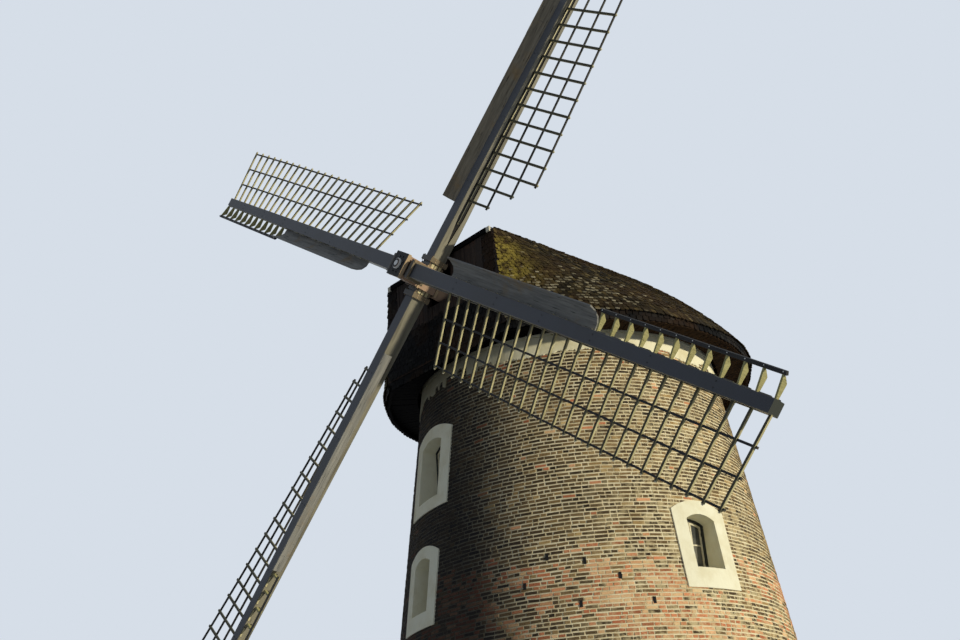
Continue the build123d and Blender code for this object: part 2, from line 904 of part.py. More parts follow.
with BuildPart() as board_pattern:
    with BuildSketch(Plane.XY.offset(wind_board_start)):
        with BuildLine():
            Polyline(*leading(plank_outline(wind_board_curve, wind_board_thickness)), close=True)
        make_face()
    extrude(amount=wind_board_end - wind_board_start)
    add(stock_margin, mode=Mode.SUBTRACT)

with BuildPart() as edge_pattern:
    for number in range(bracket_from, bar_count + 1):
        with BuildSketch(Plane.XY.offset(bar_distance(number) - bracket_thickness / 2)):
            with BuildLine():
                Polyline(*leading(bracket_outline), close=True)
            make_face()
        extrude(amount=bracket_thickness)
    batten_low = bar_distance(bracket_from) - batten_overhang
    batten_high = bar_distance(bar_count) + batten_overhang
    with Locations(Location((-leading_edge, -leading_forward, batten_low), (0, 0, leading_tilt))):
        Box(
            batten_width,
            batten_depth,
            batten_high - batten_low,
            align=(Align.CENTER, Align.CENTER, Align.MIN),
        )
    add(stock_margin, mode=Mode.SUBTRACT)

for node, pattern in (("wind_boards", board_pattern), ("leading_edges", edge_pattern)):
    with BuildPart() as fittings:
        for arm in arms.values():
            with Locations(arm.location):
                add(pattern.part)
    save(fittings, node)
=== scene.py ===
from math import atan2, cos, pi, radians, sin, sqrt

import bpy
import numpy as np
from mathutils import Matrix, Vector


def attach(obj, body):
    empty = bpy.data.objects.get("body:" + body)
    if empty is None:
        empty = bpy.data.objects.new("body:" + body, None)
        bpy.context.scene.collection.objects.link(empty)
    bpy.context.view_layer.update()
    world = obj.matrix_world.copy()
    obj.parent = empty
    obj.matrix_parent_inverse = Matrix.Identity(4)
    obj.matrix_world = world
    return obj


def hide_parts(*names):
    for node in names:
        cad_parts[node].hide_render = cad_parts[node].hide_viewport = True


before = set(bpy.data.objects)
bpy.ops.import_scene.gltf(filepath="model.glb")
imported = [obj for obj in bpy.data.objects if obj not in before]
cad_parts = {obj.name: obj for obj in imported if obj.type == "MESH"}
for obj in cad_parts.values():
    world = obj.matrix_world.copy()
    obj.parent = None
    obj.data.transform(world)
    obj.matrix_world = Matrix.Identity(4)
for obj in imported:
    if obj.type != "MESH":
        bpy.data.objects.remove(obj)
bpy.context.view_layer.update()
scene = bpy.context.scene
rng = np.random.default_rng(7)
X, Y, Z = Vector((1, 0, 0)), Vector((0, 1, 0)), Vector((0, 0, 1))

# Camera: where the photo was taken from, in metres, with the lens in millimetres
CAMERA_PLACE = (18.10, -19.99, 1.57)
CAMERA_AZIMUTH, CAMERA_PITCH, CAMERA_ROLL = radians(46.10), radians(25.97), radians(-4.36)
LENS, SENSOR, CAMERA_SIGHT = 47.74, 36.0, 500.0

# Tower, as in the part's source, in metres; azimuths in degrees
BASE_RADIUS, BATTER, WALL_TOP = 4.980, 0.1332, 12.8
LEFT, RIGHT, BACK, REAR = -104.3, -12.0, 75.7, 168.0
WINDOW_RISE, REVEAL = 0.110, 0.380
COLUMN = ((1.530, 0.970, 0.665), (4.530, 0.970, 0.665), (7.400, 1.010, 0.665), (9.760, 1.235, 0.880))
SIDE_WINDOW = (7.530, 0.970, 0.665)
WINDOWS = [(a, *size) for a in (LEFT, BACK) for size in COLUMN] + [(a, *SIDE_WINDOW) for a in (RIGHT, REAR)]
DOOR_WIDTH, DOOR_HEIGHT, DOOR_RISE, THRESHOLD = 1.100, 2.000, 0.160, 0.150
DOORS = (RIGHT, REAR)

# Cap, as in the part's source
EAVE, EAVE_RADIUS, EAVE_SLOPE = 12.7, 4.150, radians(52.0)
RIDGE, RIDGE_SLOPE, RIDGE_TOP = 16.0, radians(25.0), 15.96
FRONT, HIP_RUN, REAR_RUN = 3.700, 1.500, 0.900
SHOULDER, SHOULDER_CORNER = 14.930, 1.750
ARC = (RIDGE - EAVE) / (cos(RIDGE_SLOPE) - cos(EAVE_SLOPE))

# Hub and sails, as in the part's source
HUB = Vector((0, -4.560, 14.450))
TILT, SAIL_TURN = radians(10.8), radians(-36.57)
LEAN, STOCK_SPACING = 0.0085, 0.480
FORWARD = Vector((0, -cos(TILT), sin(TILT)))
FIRST = Vector((cos(SAIL_TURN), sin(SAIL_TURN) * sin(TILT), sin(SAIL_TURN) * cos(TILT)))
SECOND = Vector((-sin(SAIL_TURN), cos(SAIL_TURN) * sin(TILT), cos(SAIL_TURN) * cos(TILT)))
REAR_HUB = HUB - FORWARD * STOCK_SPACING
ARMS = {
    "right": (HUB, FIRST, -SECOND),
    "left": (HUB, -FIRST, SECOND),
    "upper": (REAR_HUB, SECOND, FIRST),
    "lower": (REAR_HUB, -SECOND, -FIRST),
}
BAR_SPACING, FIRST_BAR, BAR_COUNT = 0.390, 1.914, 25
BAR_WIDTH, BAR_DEPTH, RAIL_SIZE = 0.052, 0.040, 0.038
RAIL_RADII = (0.698, 1.178, 1.658)
BAR_OVERHANG, RAIL_OVERHANG, RAIL_BACK = 0.075, 0.060, 0.012
ROOT_TWIST, MIDDLE_TWIST, TIP_TWIST = 18.2, 10.0, -2.2
STOCK_END, STOCK_STRAIGHT = 11.300, 0.900
STOCK_WIDTH, STOCK_DEPTH, TIP_WIDTH, TIP_DEPTH = 0.320, 0.340, 0.230, 0.215


def level_axes(azimuth):
    """the level directions outwards and across at an azimuth in radians"""
    return Vector((cos(azimuth), sin(azimuth), 0)), Vector((-sin(azimuth), cos(azimuth), 0))


def set_camera():
    """put the camera where the photo was taken"""
    along = level_axes(CAMERA_AZIMUTH)[0]
    flat = cos(CAMERA_PITCH)
    ahead = Vector((-sin(CAMERA_AZIMUTH) * flat, cos(CAMERA_AZIMUTH) * flat, sin(CAMERA_PITCH)))
    above = along.cross(ahead)
    right = cos(CAMERA_ROLL) * along + sin(CAMERA_ROLL) * above
    up = -sin(CAMERA_ROLL) * along + cos(CAMERA_ROLL) * above
    data = bpy.data.cameras.new("camera")
    data.lens, data.sensor_width, data.clip_end = LENS, SENSOR, CAMERA_SIGHT
    camera = bpy.data.objects.new("camera", data)
    scene.collection.objects.link(camera)
    turn = Matrix((right, up, -ahead)).transposed().to_4x4()
    camera.matrix_world = Matrix.Translation(CAMERA_PLACE) @ turn
    scene.camera = camera


def rgb(r, g, b):
    """a linear colour from its usual 0 to 255 values"""
    shares = (v / 255 for v in (r, g, b))
    return (*(v / 12.92 if v <= 0.04045 else ((v + 0.055) / 1.055) ** 2.4 for v in shares), 1.0)


def darker(color, share):
    return tuple(c * share for c in color[:3]) + (1.0,)


class Nodes:
    """a node tree: each call adds nodes and returns an output"""

    def __init__(self, tree):
        self.tree = tree

    def put(self, socket, value):
        """link an output to a socket, or set the socket's own value"""
        if isinstance(value, bpy.types.NodeSocket):
            self.tree.links.new(value, socket)
        else:
            socket.default_value = value

    def node(self, kind, inputs, output=0, **settings):
        """a node with its sockets filled, by name or number"""
        node = self.tree.nodes.new("ShaderNode" + kind)
        for key, value in settings.items():
            setattr(node, key, value)
        for key, value in inputs.items():
            self.put(node.inputs[key], value)
        return node.outputs[output]

    def math(self, operation, a, b):
        return self.node("Math", {0: a, 1: b}, operation=operation)

    def seen(self):
        """1 for rays from the camera, off gloss and through glass"""
        path = self.tree.nodes.new("ShaderNodeLightPath").outputs
        most = self.math("MAXIMUM", path["Is Camera Ray"], path["Is Glossy Ray"])
        return self.math("MAXIMUM", most, path["Is Transmission Ray"])


class Surface(Nodes):
    """a material round one shader"""

    def __init__(self, name, rough=0.8, metal=0.0, specular=0.3):
        self.mat = bpy.data.materials.new(name)
        self.mat.use_nodes = True
        super().__init__(self.mat.node_tree)
        self.inputs = self.tree.nodes["Principled BSDF"].inputs
        for key, value in (("Roughness", rough), ("Metallic", metal), ("Specular IOR Level", specular)):
            self.inputs[key].default_value = value
        self.place = self.node("TexCoord", {}, "Object")

    def plus(self, a, b, share):
        """a and a share of b"""
        return self.math("ADD", a, self.math("MULTIPLY", b, share))

    def scaled(self, x, y, z):
        return self.node("VectorMath", {0: self.place, 1: (x, y, z)}, operation="MULTIPLY")

    def dot(self, direction, vector=None):
        inputs = {0: vector or self.place, 1: direction}
        return self.node("VectorMath", inputs, "Value", operation="DOT_PRODUCT")

    def facing(self, direction):
        """how far the surface looks along a direction, -1 to 1"""
        return self.dot(direction, self.node("TexCoord", {}, "Normal"))

    def along(self, direction, stretch):
        """coordinates with X along a direction, stretched by a factor"""
        x = Vector(direction).normalized()
        y = x.orthogonal().normalized()
        parts = [self.dot(axis) for axis in (x * (1 / stretch), y, x.cross(y))]
        return self.node("CombineXYZ", dict(enumerate(parts)))

    def noise(self, scale, detail=4.0, rough=0.55, at=None, warp=0.0):
        inputs = {"Vector": at or self.place, "Scale": scale, "Detail": detail}
        inputs |= {"Roughness": rough, "Distortion": warp}
        return self.node("TexNoise", inputs, "Fac")

    def attribute(self, name):
        return self.node("Attribute", {}, "Fac", attribute_name=name)

    def ramp(self, value, stops):
        node = self.tree.nodes.new("ShaderNodeValToRGB")
        points = node.color_ramp.elements
        while len(points) < len(stops):
            points.new(0.5)
        for point, (where, color) in zip(points, stops):
            point.position, point.color = where, color
        self.put(node.inputs[0], value)
        return node.outputs[0]

    def step(self, value, low, high):
        """0 below low, 1 above high, smooth between"""
        inputs = {"Value": value, "From Min": low, "From Max": high}
        return self.node("MapRange", inputs, "Result", interpolation_type="SMOOTHSTEP")

    def spots(self, low, high, *noise, **where):
        """1 where a noise is above high, 0 where it is below low"""
        return self.step(self.noise(*noise, **where), low, high)

    def mix(self, a, b, share):
        return self.node("Mix", {"Factor": share, 6: a, 7: b}, 2, data_type="RGBA")

    def lay(self, tone, color, where, most):
        """a colour over a tone, by at most a share"""
        return self.mix(tone, color, self.math("MULTIPLY", where, most))

    def finish(self, tone, height, distance, strength):
        """the last colour, and the relief as a bump"""
        self.put(self.inputs["Base Color"], tone)
        bump = self.node("Bump", {"Strength": strength, "Distance": distance, "Height": height})
        self.put(self.inputs["Normal"], bump)
        return self


def mesh_piece(name, verts, faces, surface, body, values=None):
    """a mesh object from vertices and arrays of faces, riding on a body; values are point attributes"""
    verts = np.asarray(verts, dtype=np.float32).reshape(-1, 3)
    sets = [np.asarray(f, dtype=np.int32) for f in faces if len(f)]
    mesh = bpy.data.meshes.new(name)
    mesh.vertices.add(len(verts))
    mesh.vertices.foreach_set("co", verts.ravel())
    loops = np.concatenate([f.ravel() for f in sets])
    totals = np.concatenate([np.full(len(f), f.shape[1], dtype=np.int32) for f in sets])
    starts = np.concatenate(([0], np.cumsum(totals)[:-1])).astype(np.int32)
    mesh.loops.add(len(loops))
    mesh.loops.foreach_set("vertex_index", loops)
    mesh.polygons.add(len(totals))
    mesh.polygons.foreach_set("loop_start", starts)
    mesh.polygons.foreach_set("loop_total", totals)
    mesh.polygons.foreach_set("use_smooth", np.zeros(len(totals), bool))
    mesh.update(calc_edges=True)
    mesh.validate()
    for key, data in (values or {}).items():
        layer = mesh.attributes.new(key, "FLOAT", "POINT")
        layer.data.foreach_set("value", np.asarray(data, dtype=np.float32))
    piece = bpy.data.objects.new(name, mesh)
    scene.collection.objects.link(piece)
    mesh.materials.append(surface.mat)
    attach(piece, body)
    return piece


class Boxes:
    """collects plates and prisms, each from two outlines of equal length, into one mesh"""

    def __init__(self):
        self.verts, self.faces, self.values, self.count = [], {}, {}, 0

    def face(self, *corners):
        self.faces.setdefault(len(corners), []).append([self.count + c for c in corners])

    def prism(self, low, high, **values):
        """two closed outlines joined by sides, both with a face"""
        n = len(low)
        for side in range(n):
            after = (side + 1) % n
            self.face(side, after, n + after, n + side)
        self.face(*reversed(range(n)))
        self.face(*range(n, 2 * n))
        self.verts += [tuple(p) for p in low] + [tuple(p) for p in high]
        for key, value in values.items():
            self.values.setdefault(key, []).extend([value] * (2 * n))
        self.count += 2 * n

    def plate(self, origin, x, y, z, outline, z_range, **values):
        """a prism over an outline in X and Y, between two distances along Z"""
        o = Vector(origin)
        self.prism(*[[o + x * u + y * v + z * w for u, v in outline] for w in z_range], **values)

    def block(self, origin, x, y, z, x_range, y_range, z_range, bevel=0.0, **values):
        """a box between ranges along three axes, with its four long edges (along Z) cut by a bevel"""
        (x0, x1), (y0, y1), b = x_range, y_range, bevel
        outline = [(x0, y0), (x1, y0), (x1, y1), (x0, y1)]
        if b:
            outline = [(x0 + b, y0), (x1 - b, y0), (x1, y0 + b), (x1, y1 - b)]
            outline += [(x1 - b, y1), (x0 + b, y1), (x0, y1 - b), (x0, y0 + b)]
        self.plate(origin, x, y, z, outline, z_range, **values)

    def rod(self, centre, axis, radius, low, high, sides=12):
        """a round bar along an axis"""
        axis = Vector(axis).normalized()
        x = axis.orthogonal().normalized()
        y = axis.cross(x)
        ring = [x * cos(2 * pi * k / sides) + y * sin(2 * pi * k / sides) for k in range(sides)]
        self.prism(*[[Vector(centre) + r * radius + axis * end for r in ring] for end in (low, high)])

    def piece(self, name, surface, body, slot):
        faces = [np.array(f) for f in self.faces.values()]
        return mesh_piece(name, self.verts, faces, surface, body, self.values)


# Materials

MORTAR = rgb(236, 223, 186)
# painted shade: bricks, mortar and eaves plaster turn dark towards this azimuth in degrees, the side away
# from the key light
SHADE_AZIMUTH = -118
DEEP_SHADE = level_axes(radians(SHADE_AZIMUTH))[0]
LIT_SIDE = level_axes(radians(RIGHT))[0]
# distances from the tower's axis, towards those sides, over which the painted shade and the pale smear with
# painted light set in
SHADE_SPAN, BAND_SHADE_SPAN, LIT_SMEAR_SPAN = (1.9, 3.3), (1.9, 3.1), (2.7, 4.4)
BRICK_STOPS = (
    (0.0, rgb(58, 48, 38)),
    (0.35, rgb(99, 81, 57)),
    (0.65, rgb(139, 113, 76)),
    (0.9, rgb(182, 150, 99)),
    (1.0, rgb(220, 188, 130)),
)
RED_STOPS = ((0.0, rgb(158, 86, 58)), (0.6, rgb(224, 142, 98)), (1.0, rgb(242, 190, 142)))
SHINGLE_STOPS = (
    (0.0, rgb(26, 22, 14)),
    (0.45, rgb(54, 46, 28)),
    (0.8, rgb(90, 77, 48)),
    (1.0, rgb(140, 124, 86)),
)
DARK_STOPS = ((0.0, rgb(12, 12, 13)), (0.5, rgb(24, 24, 25)), (1.0, rgb(42, 41, 38)))
# the second colour is near black, painted shade for the faces of the poll end and its bands that look
# forwards
BROWN, SHADED_FRONT = rgb(82, 58, 42), rgb(16, 16, 18)


def brick_surface():
    """weathered brick: dark brown, red where the attribute says, mortar smeared over its edges"""
    s = Surface("brick_face", rough=0.9, specular=0.12)
    red = s.ramp(s.attribute("tint"), RED_STOPS)
    tone = s.mix(s.ramp(s.attribute("tint"), BRICK_STOPS), red, s.attribute("red"))
    tone = s.mix(tone, rgb(22, 20, 18), s.spots(0.54, 0.74, 34, 5, 0.7))
    ragged = s.plus(s.attribute("edge"), s.noise(46, 4, 0.7), 0.9)
    tone = s.lay(tone, s.mix(MORTAR, rgb(188, 168, 126), s.noise(7, 4)), s.step(ragged, 0.94, 1.26), 0.95)
    # pale smear on the sunlit side: partly real mortar smear, partly painted light
    lit_smear = s.math("MULTIPLY", s.spots(0.45, 0.60, 5, 6, 0.7), s.step(s.dot(LIT_SIDE), *LIT_SMEAR_SPAN))
    tone = s.lay(tone, rgb(228, 208, 160), lit_smear, 0.78)
    tone = s.lay(tone, rgb(34, 31, 28), s.spots(0.50, 0.72, 0.45, 5, 0.6), 0.40)
    # painted shade: bricks darken towards the side away from the key light
    tone = s.lay(tone, rgb(26, 27, 30), s.step(s.dot(DEEP_SHADE), *SHADE_SPAN), 0.88)
    return s.finish(tone, s.plus(s.noise(60, 6, 0.7), s.noise(220, 3), 0.4), 0.007, 0.9)


def mortar_surface():
    """lime mortar in the joints and on the inside of the wall, with painted shade on the side away from the
    key light
    """
    s = Surface("lime_mortar", rough=0.95, specular=0.1)
    tone = s.mix(MORTAR, rgb(210, 192, 150), s.spots(0.44, 0.68, 3.0, 6, 0.65))
    tone = s.lay(tone, rgb(96, 82, 60), s.spots(0.52, 0.72, 0.6, 5, 0.6), 0.35)
    # painted shade: mortar darkens towards the side away from the key light
    tone = s.lay(tone, rgb(44, 43, 42), s.step(s.dot(DEEP_SHADE), *SHADE_SPAN), 0.92)
    return s.finish(tone, s.noise(120, 6, 0.7), 0.004, 0.8)


def plaster_surface(name, low, high, stain, shade_share=0.0):
    """limewashed plaster with faint stains and a trowelled surface, and a share of painted shade on the side
    away from the key light
    """
    s = Surface(name, rough=0.85, specular=0.2)
    tone = s.mix(high, low, s.spots(0.42, 0.70, 2.2, 6, 0.6))
    streaks = s.spots(0.60, 0.82, 1.0, 5, 0.65, at=s.scaled(9, 9, 0.7))
    tone = s.lay(tone, rgb(156, 144, 116), streaks, stain)
    # painted shade: darker towards the side away from the key light
    if shade_share:
        tone = s.lay(tone, rgb(104, 96, 74), s.step(s.dot(DEEP_SHADE), *BAND_SHADE_SPAN), shade_share)
    return s.finish(tone, s.plus(s.noise(16, 6, 0.6), s.noise(150, 4), 0.25), 0.008, 0.6)


def shingle_surface(name, stops, tip, moss=True):
    """old split shingles with a vertical grain, pale tips as painted highlight, and moss where the attribute
    says
    """
    s = Surface(name, rough=0.92, specular=0.12)
    grain = s.noise(26, 5, 0.7, at=s.scaled(1.0, 1.0, 0.35))
    tone = s.lay(s.ramp(s.attribute("tint"), stops), rgb(16, 15, 12), s.step(grain, 0.46, 0.66), 0.75)
    tone = s.lay(tone, rgb(74, 52, 30), s.spots(0.42, 0.66, 0.8, 4, 0.6), 0.35)
    if moss:
        growth = s.math("MULTIPLY", s.attribute("moss"), s.spots(0.36, 0.58, 6, 5, 0.7))
        tone = s.mix(tone, s.mix(rgb(166, 146, 66), rgb(106, 96, 42), s.noise(20, 3)), growth)
    # painted highlight: the pale tip colour on the lower ends, where light catches them
    tone = s.lay(tone, tip, s.step(s.attribute("low"), 0.55, 0.95), s.attribute("pale"))
    return s.finish(tone, s.plus(s.noise(48, 5, 0.7), grain, 0.6), 0.006, 0.9)


def wood_surface(
    name, direction, dark, light, rough=0.78, front=None, tip=None, worn=None,
    stretch=14.0, scale=22.0, shade=None, specular=0.22,
):
    """sawn wood with grain along a direction; front is the colour of the faces that look forwards, painted
    shade; the tip colour is a painted highlight where the attribute says, and the shade colour painted shade
    towards the tower's shaded side
    """
    s = Surface(name, rough=rough, specular=specular)
    at = s.along(direction, stretch)
    grain = s.noise(scale, 6, 0.65, at=at, warp=0.4)
    tone = s.ramp(grain, ((0.30, dark), (0.70, light)))
    if worn:
        tone = s.lay(tone, worn, s.spots(0.50, 0.72, 1.4, 5, 0.65), 0.7)
    # painted shade: the faces that look forwards take a darker colour
    if front:
        tone = s.lay(tone, front, s.step(s.facing(FORWARD), 0.5, 0.8), 0.85)
    check = s.spots(0.62, 0.72, scale * 2.5, 3, 0.5, at=at)
    tone = s.mix(tone, darker(dark, 0.3), check)
    # painted highlight on the pale ends, where the attribute says
    if tip:
        tone = s.mix(tone, tip, s.attribute("tip"))
    # painted shade: darker towards the tower's shaded side
    if shade:
        tone = s.mix(tone, shade, s.step(s.dot(DEEP_SHADE), 0.2, 1.6))
    return s.finish(tone, s.math("SUBTRACT", grain, check), 0.003, 0.7)


def paint_surface(
    name, color, chips=rgb(120, 110, 92), amount=0.5, rough=0.45, metal=0.0, front=None, specular=0.35,
):
    """outdoor paint with dirt, streaks and chips; front is the colour of the faces that look forwards,
    painted shade
    """
    s = Surface(name, rough=rough, specular=specular, metal=metal)
    tone = s.lay(color, darker(color, 0.62), s.spots(0.42, 0.75, 1.3, 6, 0.6), 0.7)
    # painted shade: the faces that look forwards take a darker colour
    if front:
        tone = s.mix(tone, front, s.step(s.facing(FORWARD), 0.5, 0.8))
    tone = s.lay(tone, chips, s.spots(0.70, 0.76, 42, 5, 0.75), amount)
    uneven = s.math("MULTIPLY", s.noise(5, 4), 0.25)
    s.put(s.inputs["Roughness"], s.math("ADD", uneven, rough - 0.1))
    return s.finish(tone, s.noise(30, 5, 0.6), 0.0015, 0.5)


def stock_surface(name, direction):
    """a painted stock: navy on the front and back, cream with dirt on the sides as painted sunlight, and
    painted shade in the sunk channels
    """
    s = Surface(name, rough=0.5, specular=0.35)
    at = s.along(direction, 9.0)
    navy = s.mix(rgb(28, 34, 45), rgb(20, 25, 33), s.spots(0.40, 0.72, 1.1, 6, 0.6))
    navy = s.lay(navy, rgb(58, 62, 62), s.spots(0.62, 0.78, 9, 5, 0.7, at=at), 0.5)
    cream = s.mix(rgb(150, 143, 122), rgb(110, 104, 88), s.spots(0.38, 0.70, 6, 6, 0.6, at=at))
    cream = s.lay(cream, rgb(70, 62, 48), s.spots(0.60, 0.74, 26, 6, 0.7, at=at), 0.6)
    ahead, end = [s.node("Math", {0: s.facing(d)}, operation="ABSOLUTE") for d in (FORWARD, direction)]
    # navy paint on faces that look forwards and back; the cream on the sides is painted sunlight
    tone = s.mix(cream, navy, s.step(ahead, 0.55, 0.85))
    tone = s.mix(tone, rgb(52, 54, 44), s.step(end, 0.8, 0.95))
    # painted shade in the sunk channels, where the attribute says
    tone = s.mix(tone, rgb(24, 21, 17), s.attribute("dark"))
    return s.finish(tone, s.plus(s.noise(30, 5, 0.6), s.noise(40, 4, 0.6, at=at), 0.5), 0.002, 0.6)


def glass_surface():
    """old window glass, opaque: its dark grey is painted shade of the room behind, and its paler patches
    painted reflection
    """
    s = Surface("old_glass", rough=0.06, specular=0.5)
    tone = s.mix(rgb(66, 68, 66), rgb(112, 110, 100), s.spots(0.35, 0.65, 1.8, 3))
    return s.finish(tone, s.noise(2.5, 2), 0.004, 0.25)


BRICK = brick_surface()
MORTAR_JOINT = mortar_surface()
PLASTER = plaster_surface("limewashed_plaster", rgb(234, 225, 190), rgb(246, 240, 210), 0.2)
PLASTER_TOP = plaster_surface("eaves_plaster", rgb(230, 218, 176), rgb(248, 240, 206), 0.3, 0.75)
SHINGLE = shingle_surface("shingle_wood", SHINGLE_STOPS, rgb(210, 198, 164))
SHINGLE_DARK = shingle_surface("shingle_dark", DARK_STOPS, rgb(62, 60, 56), moss=False)
POLL = paint_surface(
    "poll_paint", rgb(188, 156, 128), rgb(96, 62, 44), 0.8, rough=0.5, front=SHADED_FRONT, specular=0.12
)
BAND = paint_surface("flange_paint", rgb(200, 172, 134), rgb(84, 50, 38), 0.8, front=SHADED_FRONT, specular=0.12)
CREAM = paint_surface("clamp_paint", rgb(220, 208, 162), rgb(96, 84, 62), 0.8, front=rgb(60, 56, 48))
BOSS = paint_surface("boss_paint", rgb(248, 245, 234), rgb(110, 96, 70), 0.6)
CLAMP = paint_surface("clamp_iron", rgb(136, 120, 94), rgb(70, 56, 42), 0.8, front=rgb(44, 42, 38))
BLACK = paint_surface("fascia_paint", rgb(10, 10, 11), rgb(60, 56, 50), 0.3, rough=0.85, specular=0.04)
IRON = paint_surface("dull_iron", rgb(46, 46, 48), amount=0.4, rough=0.5, metal=0.4)
FLASH = paint_surface("sheet_flashing", rgb(204, 196, 172), amount=0.3)
RIDGE_METAL = paint_surface("ridge_sheet", rgb(60, 54, 44), amount=0.3, rough=0.6)
JOINERY = paint_surface("joinery_paint", rgb(50, 52, 48), rgb(130, 122, 100))
CASEMENT = paint_surface("casement_paint", rgb(214, 204, 172), rgb(120, 106, 80))
DOOR_GREEN = paint_surface("door_paint", rgb(46, 70, 56), rgb(120, 110, 88), rough=0.5)
HOLE = paint_surface("slit_shadow", rgb(16, 14, 12), amount=0.0, rough=0.9)
GLASS = glass_surface()
OAK = wood_surface("oak", Y, rgb(70, 52, 34), rgb(126, 98, 66))
BOARDS = wood_surface("floor_boards", X, rgb(78, 58, 38), rgb(134, 104, 70))
FRONT_BOARDS = wood_surface("front_boards", Z, rgb(28, 25, 24), rgb(62, 51, 44), rough=0.85, worn=BROWN)
# the soffit's extra colour is painted shade, near black towards the front and left
SOFFIT_BOARDS = wood_surface(
    "soffit_boards", X, rgb(28, 22, 18), rgb(70, 53, 38), stretch=6, shade=rgb(7, 6, 6), specular=0.03
)
FIN = wood_surface("bracket_wood", FORWARD, rgb(146, 138, 90), rgb(186, 178, 124), stretch=5, scale=26)
BATTEN = wood_surface("batten_wood", FIRST, rgb(34, 36, 40), rgb(64, 62, 60), stretch=12)
STOCKS = {"stock_a": stock_surface("stock_paint_a", FIRST), "stock_b": stock_surface("stock_paint_b", SECOND)}
# the upper arm's boards are lighter and browner than the same boards on the other arms: partly painted light
# against the stock's shadow, partly a browner tint
LIT_PLANK_COLORS = {"upper": (rgb(122, 113, 97), rgb(174, 161, 137), rgb(168, 138, 94))}
OTHER_PLANKS = (rgb(112, 111, 107), rgb(164, 160, 150), rgb(146, 122, 86))
BAR_WOODS, RAIL_WOODS, PLANK_WOODS = {}, {}, {}
for arm, (_, along, trailing) in ARMS.items():
    thin = {"stretch": 10, "scale": 30}
    # cream sides and a near-black front: painted sunlight on the sides and painted shade on the fronts; the
    # pale ends are painted highlight
    BAR_WOODS[arm] = wood_surface(
        f"bar_wood_{arm}", trailing, rgb(164, 152, 108), rgb(212, 202, 154),
        front=rgb(27, 29, 33), tip=rgb(214, 206, 178), **thin,
    )
    RAIL_WOODS[arm] = wood_surface(
        f"rail_wood_{arm}", along, rgb(44, 44, 44), rgb(92, 86, 72), front=rgb(36, 38, 42), **thin
    )
    dark, light, worn = LIT_PLANK_COLORS.get(arm, OTHER_PLANKS)
    PLANK_WOODS[arm] = wood_surface(f"plank_wood_{arm}", along, dark, light, worn=worn, scale=15)

DRESSED = (
    (MORTAR_JOINT, *[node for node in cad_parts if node.startswith("wall_")], "ground_floor"),
    (PLASTER, "window_surrounds", "plaster_band"),
    (BOARDS, "first_floor", "second_floor", "third_floor", "dust_floor"),
    (JOINERY, "window_frames"),
    (DOOR_GREEN, "door_frames", "door_leaves"),
    (GLASS, "window_glass"),
    (OAK, "curb_ring", "cap_ring", "sheer_beams", "outriggers", "weather_beam", "tail_beam", "windshaft"),
    (IRON, "curb_track", "neck_bearing", "tail_bearing"),
    (FRONT_BOARDS, "front_wall", "roof_left", "roof_right", "roof_rear"),
    (SOFFIT_BOARDS, "eave_skirt", "eave_soffit"),
    (BLACK, "front_fascia"),
    (RIDGE_METAL, "ridge_cap"),
    (POLL, "poll_end"),
    (CLAMP, "stock_wedges"),
    (STOCKS["stock_a"], "stock_a"),
    (STOCKS["stock_b"], "stock_b"),
)
for surface, *nodes in DRESSED:
    for node in nodes:
        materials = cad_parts[node].data.materials
        materials.clear()
        materials.append(surface.mat)

# Brickwork: sizes in metres, heights from the ground

COURSE, BRICK_HEIGHT, JOINT, BRICK_TOP = 0.078, 0.055, 0.016, 12.52
HEADER, STRETCHER, HEADER_SHARE, MEAN_BRICK = 0.118, 0.222, 0.58, 0.175
OPENING_SIDE, OPENING_BELOW, OPENING_ABOVE = 0.16, 0.12, 0.10
BRICK_PROUD, RIM = (0.005, 0.013), (0.004, 0.011)
BRICK_TILT, BRICK_SHAKE, BRICK_SWAY = 0.0012, 0.0034, 0.010
RED_TOP, RED_FADE = 8.1, 0.7
HIGH_RED, HIGH_FADE = 11.85, 0.25
BRICK_MESHES = 4
# middles of the upright slits: azimuth in degrees and height
SLITS = ((-64.45, 7.354), (-57.94, 7.853), (-47.90, 7.701), (-39.09, 7.370), (-49.92, 6.893), (-31.07, 6.882))
SLIT_WIDTH, SLIT_HEIGHT = 0.058, 0.130


def wall_radius(z):
    return BASE_RADIUS - BATTER * z


def in_opening(azimuth, low, high):
    """whether bricks at azimuths in degrees, in a course, would stand in an opening"""
    hit = np.zeros(len(azimuth), bool)
    places = [(a, s, s + height + WINDOW_RISE, width) for a, s, height, width in WINDOWS]
    places += [(a, THRESHOLD, THRESHOLD + DOOR_HEIGHT + DOOR_RISE, DOOR_WIDTH) for a in DOORS]
    for place, sill, crown, width in places:
        if high >= sill - OPENING_BELOW and low <= crown + OPENING_ABOVE:
            off = (azimuth - place + 180) % 360 - 180
            hit |= np.abs(np.radians(off)) * wall_radius(low) < width / 2 + OPENING_SIDE
    return hit


def wave_field(azimuth, z, seed, scale):
    """a smooth random field round the tower, about -1 to 1"""
    local = np.random.default_rng(seed)
    total = np.zeros_like(azimuth)
    for octave in range(5):
        turns = local.integers(2, 7) * 2**octave * scale
        rise = local.uniform(0.6, 1.6) * 2**octave * scale
        total += np.sin(np.radians(azimuth) * round(turns) + z * rise + local.uniform(0, 6.28)) / 1.5**octave
    return total / 2.0


def brick_edges(radius):
    """azimuths of the joints in one course: headers and stretchers in no fixed order"""
    count = int(2 * pi * radius / MEAN_BRICK)
    lengths = np.where(rng.random(count) < HEADER_SHARE, HEADER, STRETCHER) * rng.normal(1, 0.05, count)
    ends = np.concatenate([[0], np.cumsum(lengths)])
    return ends / ends[-1] * 360 + rng.uniform(0, 360)


